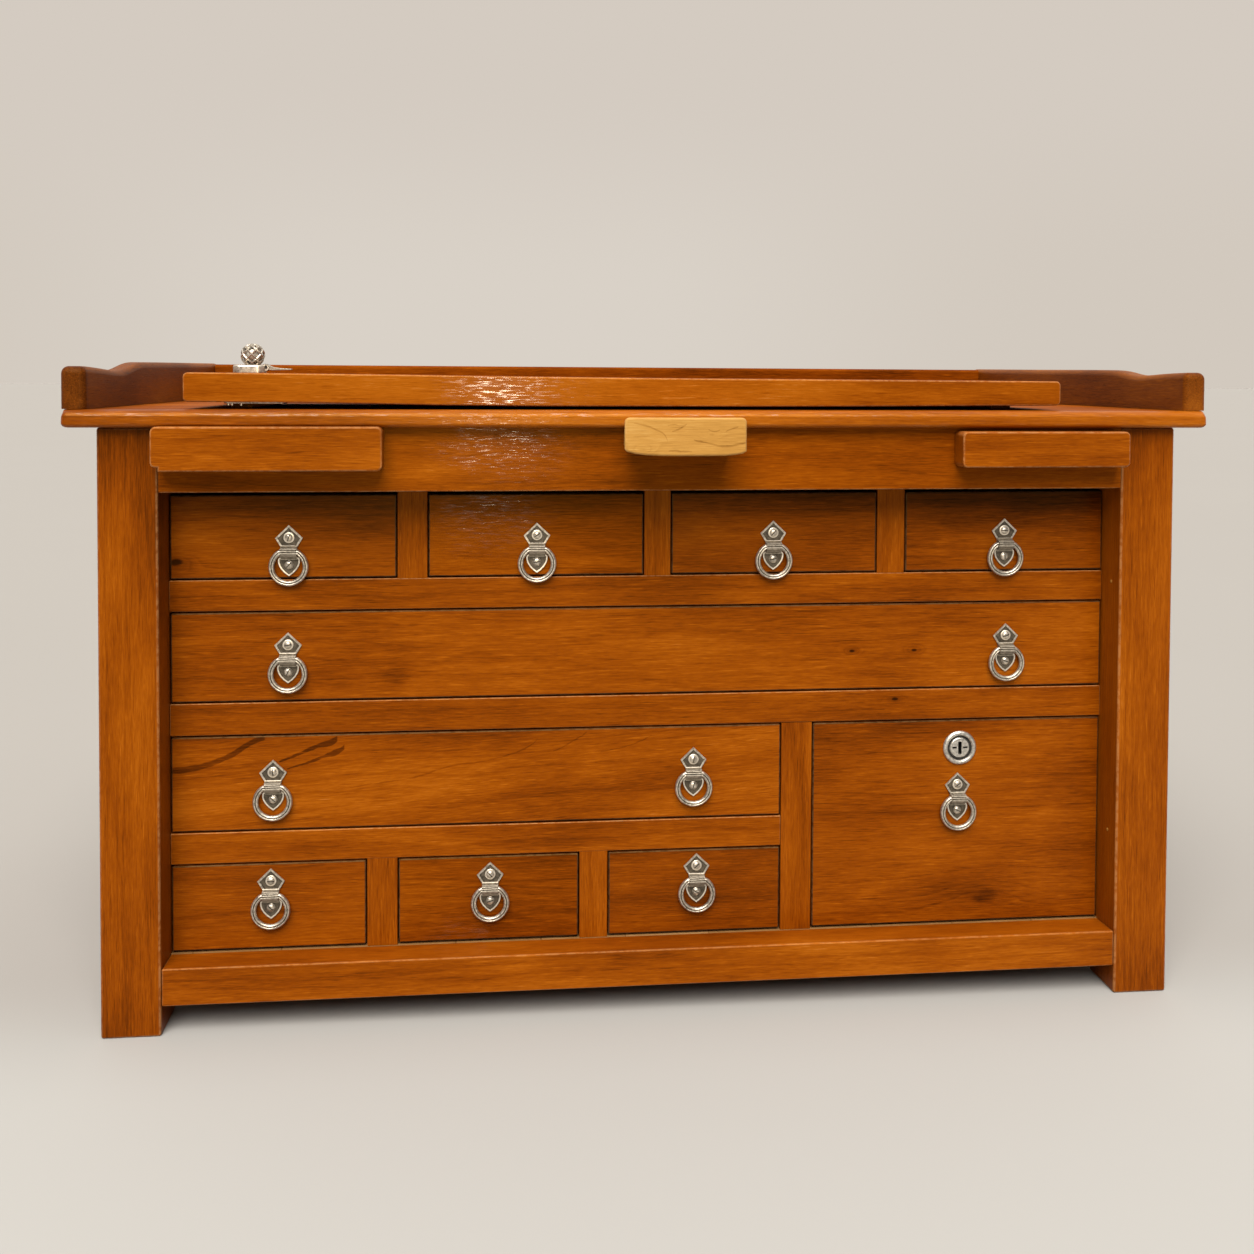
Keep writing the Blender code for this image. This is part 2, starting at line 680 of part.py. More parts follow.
def lock():
    at = (LOCK_X, FACE_Y, LOCK_Z)
    case = (
        (PLUG_R + 0.3, -2.6), (PLUG_R + 2.6, -3.4), (BEZEL_R - 1.2, -3.4), (BEZEL_R, -2.2), (BEZEL_R, -GAP),
        (CASE_R, -GAP), (CASE_R, 21.5), (PLUG_R + 0.3, 21.5),
    )
    finish("lock_case", turned(case, at, "Y"), METAL, 0.9, 0.3, origin=at)
    plug = ((0.0, -2.2), (PLUG_R - 0.6, -2.2), (PLUG_R, -1.6), (PLUG_R, 22.5), (6.0, 22.5), (6.0, CAM_Y - FACE_Y + 4.0), (0.0, CAM_Y - FACE_Y + 4.0))
    obj = finish("lock_cylinder", turned(plug, at, "Y"), METAL, 0.9, 0.3, origin=at)
    slot = block(LOCK_X - 2.0, LOCK_X + 2.0, FACE_Y - 5.0, FACE_Y + 8.0, LOCK_Z - 7.0, LOCK_Z + 7.0)
    add_boolean(obj, helper("key_slot", slot), "DIFFERENCE")
    outline = rounded(-CAM_LENGTH, 8.0, -CAM_W / 2, CAM_W / 2, 6.0, 3)
    cam = prism_y([(LOCK_X + x, LOCK_Z + z) for x, z in outline], CAM_Y, CAM_Y + 2.5)
    add_boolean(obj, helper("lock_cam", cam), "UNION")


# ------------------------------------------------- arm rests, pin, board, knob
def arm_rest(name, outline_front, outline_body, slide_x, lip_back):
    bm = prism_y(outline_front, -26.0, lip_back)
    chamfer(bm, 1.6, keep=lambda a, b: a.y < -25.9 and b.y < -25.9)
    obj = finish(name, bm, origin=((slide_x[0] + slide_x[1]) / 2, -26.0, sum(SLIDE_Z) / 2))
    if outline_body:
        add_boolean(obj, helper(name + "_body", prism_y(outline_body, lip_back - 1.0, -0.4)), "UNION")
    slide = block(slide_x[0], slide_x[1], -1.4, 330.0, *SLIDE_Z)
    add_boolean(obj, helper(name + "_slide", slide), "UNION")


def arm_rests():
    # the left-hand block is taller in front of the table edge and is stepped where it laps the leg
    x0, x1, z0 = -511.6, -283.7, 581.9
    step = ((-504.0, z0), (-504.0, z0 + 4.3), (x0 + 4.0, z0 + 4.3), (x0 + 1.0, z0 + 5.9), (x0, z0 + 8.9))
    front = list(reversed(step)) + rounded(x0, x1, z0, 627.0, 6.0)[5:]
    body = list(reversed(step)) + rounded(x0, x1, z0, 624.9, (0.5, 6.0, 3.0, 3.0))[5:]
    arm_rest("arm_rest_left", front, body, (-505.0, -290.0), -13.0)
    right = rounded(322.1, 507.3, 583.6, 621.9, 5.5)
    arm_rest("arm_rest_right", right, None, (330.0, 499.0), -0.4)


def bench_pin():
    """Wedge that narrows and falls a little towards the bench, with a flat tongue in the apron's slot."""
    def shape(left, right, top, low=0.0):
        r = 5.0
        points = [
            (left, 607.0), (left + 2.4, 603.8 + low), (left + 21.4, 600.2 + low), (10.0, 599.3 + low), (60.0, 599.5 + low), (right - 3.7, 601.8 + low), (right, 604.0 + low),
        ]
        points += [(right, top - r), (right - 1.5, top - 1.5), (right - r, top), (left + r, top), (left + 1.5, top - 1.5), (left, top - r)]
        return points

    bm = bmesh.new()
    first = [bm.verts.new((x, -70.0, z)) for x, z in shape(-42.2, 81.7, 638.1)]
    last = [bm.verts.new((x, -13.0, z)) for x, z in shape(-36.0, 77.0, 635.5)]
    bm.faces.new(first)
    bm.faces.new(list(reversed(last)))
    for i in range(len(first)):
        j = (i + 1) % len(first)
        bm.faces.new([first[j], first[i], last[i], last[j]])
    bmesh.ops.recalc_face_normals(bm, faces=bm.faces)
    chamfer(bm, 2.0, keep=lambda a, b: a.y < -69.9 and b.y < -69.9)
    obj = finish("bench_pin", bm, BEECH, 0.0, 0.5, origin=(20.0, -70.0, 613.0))
    add_boolean(obj, helper("pin_body", prism_y(shape(-35.8, 76.8, 624.9, 0.2), -14.0, -0.4)), "UNION")
    tongue = block(PIN_TONGUE[0], PIN_TONGUE[1], -1.4, 58.0, PIN_TONGUE[2], PIN_TONGUE[3])
    add_boolean(obj, helper("pin_tongue", tongue), "UNION")


def raised_board():
    """Board on two low bearers set back from its edges."""
    x0, x1 = BOARD_X
    r = 5.0

    def corner(cx, cz, start):
        return [(cx + r * math.cos(math.radians(start + 30 * n)), cz + r * math.sin(math.radians(start + 30 * n))) for n in range(4)]

    outline = corner(x0 + r, BOARD_UNDER[0][1] + r, 180)
    outline += BOARD_UNDER[1:-1]
    outline += corner(x1 - r, BOARD_UNDER[-1][1] + r, 270)
    outline += corner(x1 - r, BOARD_TOP[-1][1] - r, 0)
    outline += reversed(BOARD_TOP[1:-1])
    outline += corner(x0 + r, BOARD_TOP[0][1] - r, 90)
    bm = prism_y(outline, *BOARD_Y)
    chamfer(bm, 1.6, keep=lambda a, b: abs(a.y - b.y) < 0.01)
    obj = finish("raised_board", bm)
    for n, (a, b) in enumerate(((-446.0, -424.0), (380.0, 402.0))):
        foot = block(a, b, 46.0, 240.0, TOP_Z1 + GAP, 654.0)
        add_boolean(obj, helper(f"bearer_{n + 1}", foot), "UNION")


def knob():
    """Ball on an oblong foot, with a thin tongue that runs off to the right clear of the board."""
    base, height = 681.3, 8.1
    foot = rounded(KNOB_X - 20.0, KNOB_X + 14.0, KNOB_Y - 11.0, KNOB_Y + 11.0, 8.0, 4)
    bm = bmesh.new()
    low = [bm.verts.new((x, y, base)) for x, y in foot]
    high = [bm.verts.new((x, y, base + height)) for x, y in foot]
    bm.faces.new(list(reversed(low)))
    bm.faces.new(high)
    for i in range(len(foot)):
        j = (i + 1) % len(foot)
        bm.faces.new([low[i], low[j], high[j], high[i]])
    bmesh.ops.recalc_face_normals(bm, faces=bm.faces)
    chamfer(bm, 1.6, keep=lambda a, b: min(a.z, b.z) > base + 5.0, segments=2)
    obj = finish("knob", bm, METAL, 0.9, 0.3, origin=(KNOB_X, KNOB_Y, base))

    r, sink = KNOB_BALL_R, 2.3
    centre = height - sink + r
    cut = height - 1.3
    profile = [(0.0, cut - 0.6), (math.sqrt(r * r - (centre - cut) ** 2), cut - 0.6)]
    low_angle = math.asin((cut - centre) / r)
    for n in range(1, 9):
        a = low_angle + (math.pi / 2 - low_angle) * n / 8
        profile.append((r * math.cos(a) if n < 8 else 0.0, centre + r * math.sin(a)))
    add_boolean(obj, helper("knob_ball", turned(profile, (KNOB_X, KNOB_Y, base), "Z", 16)), "UNION")

    eye = turned(((0.0, -5.0), (3.8, -5.0), (3.8, 5.0), (0.0, 5.0)), (KNOB_X + 14.0, KNOB_Y, base + 5.4), "Y", 12)
    add_boolean(obj, helper("knob_eye", eye), "UNION")
    tongue = prism_y(
        [(KNOB_X + 12.0, base + 3.6), (KNOB_X + 41.0, base + 3.9), (KNOB_X + 41.0, base + 5.1), (KNOB_X + 12.0, base + 7.2)],
        KNOB_Y - 4.0, KNOB_Y + 4.0,
    )
    add_boolean(obj, helper("knob_tongue", tongue), "UNION")


def main():
    clear_scene()
    legs()
    apron()
    bottom_rail()
    side_panels()
    back_panel()
    carcass()
    small_uprights()
    table_top()
    gallery()
    drawers()
    pulls()
    lock()
    arm_rests()
    bench_pin()
    raised_board()
    knob()


main()
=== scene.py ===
"""Jeweller's workbench of varnished hardwood with ten drawers: finishes, fittings, floor, lights and camera.

Shapes are drawn in millimetres from the front face of the legs (y = 0), the centre line of the front
(x = 0) and the floor (z = 0), and W() turns them into the frame's metres.
"""

import json
import math
import random

import bmesh
import bpy
from mathutils import Matrix, Vector

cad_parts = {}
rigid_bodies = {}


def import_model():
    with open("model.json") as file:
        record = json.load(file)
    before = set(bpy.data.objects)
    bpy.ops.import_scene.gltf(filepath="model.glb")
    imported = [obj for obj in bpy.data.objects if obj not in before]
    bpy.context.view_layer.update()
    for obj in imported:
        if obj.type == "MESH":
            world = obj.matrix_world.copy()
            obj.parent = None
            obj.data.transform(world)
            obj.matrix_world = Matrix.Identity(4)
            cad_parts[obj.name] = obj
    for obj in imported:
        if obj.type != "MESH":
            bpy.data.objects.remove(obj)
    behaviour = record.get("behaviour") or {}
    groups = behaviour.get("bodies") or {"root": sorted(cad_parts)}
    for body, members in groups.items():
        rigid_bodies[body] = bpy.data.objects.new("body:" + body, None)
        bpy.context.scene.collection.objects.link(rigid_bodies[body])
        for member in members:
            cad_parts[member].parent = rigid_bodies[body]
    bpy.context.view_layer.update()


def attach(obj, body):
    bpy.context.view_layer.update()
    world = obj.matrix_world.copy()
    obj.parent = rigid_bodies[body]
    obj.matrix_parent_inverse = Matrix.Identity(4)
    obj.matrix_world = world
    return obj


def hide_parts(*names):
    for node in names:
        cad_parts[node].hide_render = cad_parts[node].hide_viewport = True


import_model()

Y_SHIFT = -280.0
GAP = 0.3


def W(x, y, z):
    return Vector((x * 0.001, (y + Y_SHIFT) * 0.001, z * 0.001))


# --------------------------------------------------------------------- camera
def camera():
    data = bpy.data.cameras.new("camera")
    obj = bpy.data.objects.new("camera", data)
    bpy.context.scene.collection.objects.link(obj)
    yaw, pitch, roll = (math.radians(a) for a in (5.8043, 1.7052, 0.2422))
    forward = Vector((math.sin(yaw) * math.cos(pitch), math.cos(yaw) * math.cos(pitch), -math.sin(pitch)))
    level = Vector((math.cos(yaw), -math.sin(yaw), 0.0))
    above = level.cross(forward)
    right = math.cos(roll) * level + math.sin(roll) * above
    up = -math.sin(roll) * level + math.cos(roll) * above
    turn = Matrix((right, up, -forward)).transposed().to_4x4()
    obj.matrix_world = Matrix.Translation(Vector((-0.17084, -1.63928, 0.68000))) @ turn
    data.sensor_fit = "HORIZONTAL"
    data.sensor_width = 36.0
    data.lens = 1304.6 / 1254.0 * 36.0
    data.shift_x = 0.0
    data.shift_y = (414.15 - 627.0) / 1254.0
    data.clip_start, data.clip_end = 0.02, 200.0
    data.dof.use_dof = False
    bpy.context.scene.camera = obj


camera()


# -------------------------------------------------------------- mesh building
def block(x0, x1, y0, y1, z0, z1):
    bm = bmesh.new()
    bmesh.ops.create_cube(bm, size=1.0)
    for vert in bm.verts:
        c = vert.co
        vert.co = Vector((x0 if c.x < 0 else x1, y0 if c.y < 0 else y1, z0 if c.z < 0 else z1))
    return bm


def bevel(bm, width, segments=3, keep=None, angle=30.0):
    """Round the convex sharp edges whose two ends pass the test."""
    bm.normal_update()
    edges = [
        e for e in bm.edges
        if len(e.link_faces) == 2 and e.calc_face_angle_signed(0.0) > math.radians(angle)
        and (keep is None or keep(e.verts[0].co, e.verts[1].co))
    ]
    if edges:
        bmesh.ops.bevel(bm, geom=edges, offset=width, offset_type="OFFSET", segments=segments, profile=0.5, affect="EDGES", clamp_overlap=True)
    return bm


def cells(xs, ys, zs, filled):
    """A solid made of the filled boxes of a grid, with faces only on its outside."""
    bm = bmesh.new()
    corner = {}

    def vert(i, j, k):
        if (i, j, k) not in corner:
            corner[(i, j, k)] = bm.verts.new((xs[i], ys[j], zs[k]))
        return corner[(i, j, k)]

    nx, ny, nz = len(xs) - 1, len(ys) - 1, len(zs) - 1

    def solid(i, j, k):
        if not (0 <= i < nx and 0 <= j < ny and 0 <= k < nz):
            return False
        return filled((xs[i] + xs[i + 1]) / 2, (ys[j] + ys[j + 1]) / 2, (zs[k] + zs[k + 1]) / 2)

    for i in range(nx):
        for j in range(ny):
            for k in range(nz):
                if not solid(i, j, k):
                    continue
                if not solid(i - 1, j, k):
                    bm.faces.new([vert(i, j, k), vert(i, j, k + 1), vert(i, j + 1, k + 1), vert(i, j + 1, k)])
                if not solid(i + 1, j, k):
                    bm.faces.new([vert(i + 1, j, k), vert(i + 1, j + 1, k), vert(i + 1, j + 1, k + 1), vert(i + 1, j, k + 1)])
                if not solid(i, j - 1, k):
                    bm.faces.new([vert(i, j, k), vert(i + 1, j, k), vert(i + 1, j, k + 1), vert(i, j, k + 1)])
                if not solid(i, j + 1, k):
                    bm.faces.new([vert(i, j + 1, k), vert(i, j + 1, k + 1), vert(i + 1, j + 1, k + 1), vert(i + 1, j + 1, k)])
                if not solid(i, j, k - 1):
                    bm.faces.new([vert(i, j, k), vert(i, j + 1, k), vert(i + 1, j + 1, k), vert(i + 1, j, k)])
                if not solid(i, j, k + 1):
                    bm.faces.new([vert(i, j, k + 1), vert(i + 1, j, k + 1), vert(i + 1, j + 1, k + 1), vert(i, j + 1, k + 1)])
    bmesh.ops.recalc_face_normals(bm, faces=bm.faces)
    return bm


def inside(value, span):
    return span[0] < value < span[1]


def prism(outline, axis, a0, a1):
    """Extrude an outline along X (points are y, z), Y (x, z) or Z (x, y)."""
    bm = bmesh.new()

    def place(p, a):
        return {"X": (a, p[0], p[1]), "Y": (p[0], a, p[1]), "Z": (p[0], p[1], a)}[axis]

    first = [bm.verts.new(place(p, a0)) for p in outline]
    last = [bm.verts.new(place(p, a1)) for p in outline]
    bm.faces.new(first)
    bm.faces.new(list(reversed(last)))
    for i in range(len(outline)):
        j = (i + 1) % len(outline)
        bm.faces.new([first[j], first[i], last[i], last[j]])
    bmesh.ops.recalc_face_normals(bm, faces=bm.faces)
    return bm


def turned(profile, centre, axis="Y", steps=48):
    """Turn a profile of (radius, distance along the axis) points into a solid; one that starts off the axis is closed on itself."""
    bm = bmesh.new()
    rings = []
    for r, a in profile:
        if r < 1e-6:
            rings.append([bm.verts.new((0.0, 0.0, a))])
        else:
            rings.append([bm.verts.new((r * math.cos(2 * math.pi * i / steps), r * math.sin(2 * math.pi * i / steps), a)) for i in range(steps)])
    count = len(rings)
    closed = profile[0][0] > 1e-6
    for n in range(count if closed else count - 1):
        a, b = rings[n], rings[(n + 1) % count]
        for i in range(steps):
            j = (i + 1) % steps
            if len(a) == 1:
                bm.faces.new([a[0], b[j], b[i]])
            elif len(b) == 1:
                bm.faces.new([a[i], a[j], b[0]])
            else:
                bm.faces.new([a[i], a[j], b[j], b[i]])
    if axis == "Y":
        bmesh.ops.rotate(bm, verts=bm.verts, cent=(0, 0, 0), matrix=Matrix.Rotation(math.radians(-90), 3, "X"))
    elif axis == "X":
        bmesh.ops.rotate(bm, verts=bm.verts, cent=(0, 0, 0), matrix=Matrix.Rotation(math.radians(90), 3, "Y"))
    bmesh.ops.translate(bm, verts=bm.verts, vec=Vector(centre))
    bmesh.ops.recalc_face_normals(bm, faces=bm.faces)
    return bm


def rounded(x0, x1, z0, z1, r, steps=6):
    """Outline of a rectangle with round corners; r is one radius or four (lower left, lower right, upper right, upper left)."""
    radii = r if isinstance(r, tuple) else (r, r, r, r)
    points = []
    for cx, cz, start, radius in (
        (x0 + radii[0], z0 + radii[0], 180, radii[0]),
        (x1 - radii[1], z0 + radii[1], 270, radii[1]),
        (x1 - radii[2], z1 - radii[2], 0, radii[2]),
        (x0 + radii[3], z1 - radii[3], 90, radii[3]),
    ):
        for i in range(steps + 1):
            a = math.radians(start + 90 * i / steps)
            points.append((cx + radius * math.cos(a), cz + radius * math.sin(a)))
    return points


def tube(path, section, closed=True, normal=Vector((0.0, 1.0, 0.0)), radial=None, tags=None):
    """Sweep a section, a list of (radius, angle), along a path. radial(point) gives the frame's normal where it varies.

    tags marks the strips of the section that take the second material.
    """
    bm = bmesh.new()
    count, sides = len(path), len(section)
    loops = []
    for n, point in enumerate(path):
        before = path[n - 1] if closed or n else path[n]
        after = path[(n + 1) % count] if closed or n < count - 1 else path[n]
        tangent = (after - before).normalized()
        up = radial(point) if radial else normal
        across = tangent.cross(up).normalized()
        up = across.cross(tangent).normalized()
        loops.append([bm.verts.new(point + r * (math.cos(a) * across + math.sin(a) * up)) for r, a in section])
    for n in range(count if closed else count - 1):
        a, b = loops[n], loops[(n + 1) % count]
        for k in range(sides):
            m = (k + 1) % sides
            face = bm.faces.new([a[k], a[m], b[m], b[k]])
            face.material_index = 1 if tags and k in tags else 0
    if not closed:
        bm.faces.new(loops[0])
        bm.faces.new(loops[-1])
    bmesh.ops.recalc_face_normals(bm, faces=bm.faces)
    return bm


def as_object(bm):
    mesh = bpy.data.meshes.new("shape")
    bm.to_mesh(mesh)
    bm.free()
    obj = bpy.data.objects.new("shape", mesh)
    bpy.context.scene.collection.objects.link(obj)
    return obj


def boolean(bm, other, operation="DIFFERENCE"):
    """The two shapes cut or joined. Faces left by the second keep its material index."""
    a, b = as_object(bm), as_object(other)
    mod = a.modifiers.new("cut", "BOOLEAN")
    mod.operation, mod.solver, mod.object = operation, "EXACT", b
    bpy.context.view_layer.update()
    mesh = bpy.data.meshes.new_from_object(a.evaluated_get(bpy.context.evaluated_depsgraph_get()))
    out = bmesh.new()
    out.from_mesh(mesh)
    for obj in (a, b):
        data = obj.data
        bpy.data.objects.remove(obj, do_unlink=True)
        bpy.data.meshes.remove(data)
    bpy.data.meshes.remove(mesh)
    return out


def moved(bm, vec=(0, 0, 0), matrix=None):
    if matrix is not None:
        bmesh.ops.transform(bm, matrix=matrix, verts=bm.verts)
    bmesh.ops.translate(bm, verts=bm.verts, vec=Vector(vec))
    return bm


class Piece:
    """Closed shells drawn in millimetres, gathered into one object."""

    def __init__(self, name):
        self.name = name
        self.bm = bmesh.new()
        self.wear_and_edge_shading = self.bm.verts.layers.float.new("wear_and_edge_shading")
        self.materials = []

    def add(self, bm, *materials, edge_band=None, weight=None):
        """materials go to the shell's own material indices. The edge band is the bevel width whose strips are marked
        for rubbed edges and for painted edge light and shade, weight(point) its strength.
        """
        bm.normal_update()
        slots = []
        for mat in materials:
            if mat not in self.materials:
                self.materials.append(mat)
            slots.append(self.materials.index(mat))
        layer = bm.verts.layers.float.get("wear_and_edge_shading") or bm.verts.layers.float.new("wear_and_edge_shading")
        if edge_band:
            thin = {}
            for face in bm.faces:
                longest = max(e.calc_length() for e in face.edges)
                thin[face] = face.calc_area() / max(longest, 1e-6) < edge_band * 1.15
            for vert in bm.verts:
                edge = vert.link_faces and all(thin[f] for f in vert.link_faces)
                vert[layer] = (weight(vert.co) if weight else 1.0) if edge else 0.0
        for face in bm.faces:
            face.material_index = slots[min(face.material_index, len(slots) - 1)]
        mesh = bpy.data.meshes.new("shell")
        bm.to_mesh(mesh)
        bm.free()
        self.bm.from_mesh(mesh)
        bpy.data.meshes.remove(mesh)
        return self

    def box(self, mat, x0, x1, y0, y1, z0, z1, r=1.0, segments=3, keep=None, weight=None):
        return self.add(bevel(block(x0, x1, y0, y1, z0, z1), r, segments, keep), mat, edge_band=r, weight=weight)

    def done(self, body, *nodes, slot="varnished_hardwood", smooth=42.0):
        for vert in self.bm.verts:
            vert.co = W(*vert.co)
        mesh = bpy.data.meshes.new(self.name)
        self.bm.to_mesh(mesh)
        self.bm.free()
        for mat in self.materials:
            mesh.materials.append(mat)
        mesh.polygons.foreach_set("use_smooth", [True] * len(mesh.polygons))
        mesh.set_sharp_from_angle(angle=math.radians(smooth))
        obj = bpy.data.objects.new(self.name, mesh)
        bpy.context.scene.collection.objects.link(obj)
        mod = obj.modifiers.new("normals", "WEIGHTED_NORMAL")
        mod.keep_sharp = True
        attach(obj, body)
        if nodes:
            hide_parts(*nodes)
        return obj


# ------------------------------------------------------------------ materials
class Graph:
    """Short calls for building a material's nodes."""

    def __init__(self, name):
        self.mat = bpy.data.materials.new(name)
        self.mat.use_nodes = True
        self.tree = self.mat.node_tree
        self.tree.nodes.clear()
        self.out = self.tree.nodes.new("ShaderNodeOutputMaterial")
        self.bsdf = self.tree.nodes.new("ShaderNodeBsdfPrincipled")
        self.tree.links.new(self.bsdf.outputs[0], self.out.inputs["Surface"])
        self.co = self.tree.nodes.new("ShaderNodeTexCoord").outputs["Object"]

    def put(self, socket, value):
        if isinstance(value, bpy.types.NodeSocket):
            self.tree.links.new(value, socket)
        elif value is not None:
            socket.default_value = value

    def set(self, **values):
        for key, value in values.items():
            self.put(self.bsdf.inputs[key.replace("_", " ")], value)

    def math(self, op, a, b=None, c=None, clamp=False):
        node = self.tree.nodes.new("ShaderNodeMath")
        node.operation, node.use_clamp = op, clamp
        for socket, value in zip(node.inputs, (a, b, c)):
            self.put(socket, value)
        return node.outputs[0]

    def add(self, *terms):
        total = terms[0]
        for term in terms[1:]:
            total = self.math("ADD", total, term)
        return total

    def mul(self, a, b):
        return self.math("MULTIPLY", a, b)

    def vec(self, op, a, b=None):
        node = self.tree.nodes.new("ShaderNodeVectorMath")
        node.operation = op
        self.put(node.inputs[0], a)
        if b is not None:
            self.put(node.inputs[1], b)
        return node.outputs["Value"] if op in ("LENGTH", "DOT_PRODUCT", "DISTANCE") else node.outputs["Vector"]

    def xyz(self, x, y, z):
        node = self.tree.nodes.new("ShaderNodeCombineXYZ")
        for socket, value in zip(node.inputs, (x, y, z)):
            self.put(socket, value)
        return node.outputs[0]

    def split(self, v):
        node = self.tree.nodes.new("ShaderNodeSeparateXYZ")
        self.put(node.inputs[0], v)
        return node.outputs

    def noise(self, v, detail=2.0, rough=0.5, scale=1.0, distortion=0.0):
        node = self.tree.nodes.new("ShaderNodeTexNoise")
        self.put(node.inputs["Vector"], v)
        node.inputs["Scale"].default_value = scale
        node.inputs["Detail"].default_value = detail
        node.inputs["Roughness"].default_value = rough
        node.inputs["Distortion"].default_value = distortion
        return node.outputs

    def stretched(self, v, scales, detail=2.0, rough=0.5, distortion=0.0):
        return self.noise(self.vec("MULTIPLY", v, scales), detail, rough, 1.0, distortion)

    def white(self, value):
        node = self.tree.nodes.new("ShaderNodeTexWhiteNoise")
        node.noise_dimensions = "1D"
        self.put(node.inputs["W"], value)
        return node.outputs

    def step(self, value, a, b, low=0.0, high=1.0):
        node = self.tree.nodes.new("ShaderNodeMapRange")
        node.interpolation_type = "SMOOTHSTEP"
        for name, v in (("Value", value), ("From Min", a), ("From Max", b), ("To Min", low), ("To Max", high)):
            self.put(node.inputs[name], v)
        return node.outputs[0]

    def ramp(self, fac, stops, mode="LINEAR"):
        node = self.tree.nodes.new("ShaderNodeValToRGB")
        node.color_ramp.interpolation = mode
        items = node.color_ramp.elements
        while len(items) < len(stops):
            items.new(0.5)
        for item, (at, colour) in zip(items, stops):
            item.position = at
            item.color = (colour, colour, colour, 1.0) if isinstance(colour, float) else (*colour, 1.0)
        self.put(node.inputs[0], fac)
        return node.outputs[0]

    def mix(self, fac, a, b, mode="MIX"):
        node = self.tree.nodes.new("ShaderNodeMix")
        node.data_type, node.blend_type = "RGBA", mode
        self.put(node.inputs[0], fac)
        self.put(node.inputs[6], a)
        self.put(node.inputs[7], b)
        return node.outputs[2]

    def curve(self, value, points):
        """points run over 0..1 both ways."""
        node = self.tree.nodes.new("ShaderNodeFloatCurve")
        curve = node.mapping.curves[0]
        while len(curve.points) < len(points):
            curve.points.new(0.5, 0.5)
        for point, at in zip(curve.points, sorted(points)):
            point.location = at
        node.mapping.update()
        self.put(node.inputs["Value"], value)
        return node.outputs[0]

    def bump(self, height, distance, strength=1.0):
        node = self.tree.nodes.new("ShaderNodeBump")
        node.inputs["Strength"].default_value = strength
        node.inputs["Distance"].default_value = distance
        self.put(node.inputs["Height"], height)
        return node.outputs[0]


HARDWOOD = (
    (0.00, (0.018, 0.0030, 0.0002)),
    (0.22, (0.069, 0.0120, 0.0004)),
    (0.42, (0.150, 0.0282, 0.0006)),
    (0.58, (0.216, 0.0468, 0.0011)),
    (0.78, (0.300, 0.0768, 0.0030)),
    (1.00, (0.420, 0.1560, 0.0300)),
)
# the side rails of the gallery take a browner palette, lifted in green and blue: a painted sheen
SHEENED_BROWN = (
    (0.00, (0.020, 0.0042, 0.0010)),
    (0.22, (0.071, 0.0160, 0.0018)),
    (0.42, (0.152, 0.0375, 0.0034)),
    (0.58, (0.220, 0.0610, 0.0048)),
    (0.78, (0.304, 0.0950, 0.0080)),
    (1.00, (0.420, 0.1700, 0.0360)),
)
INNER = (
    (0.00, (0.072, 0.030, 0.008)),
    (0.30, (0.180, 0.081, 0.025)),
    (0.60, (0.264, 0.132, 0.047)),
    (1.00, (0.360, 0.210, 0.090)),
)
BEECH = (
    (0.00, (0.138, 0.051, 0.009)),
    (0.30, (0.312, 0.147, 0.030)),
    (0.60, (0.420, 0.210, 0.047)),
    (1.00, (0.510, 0.312, 0.102)),
)


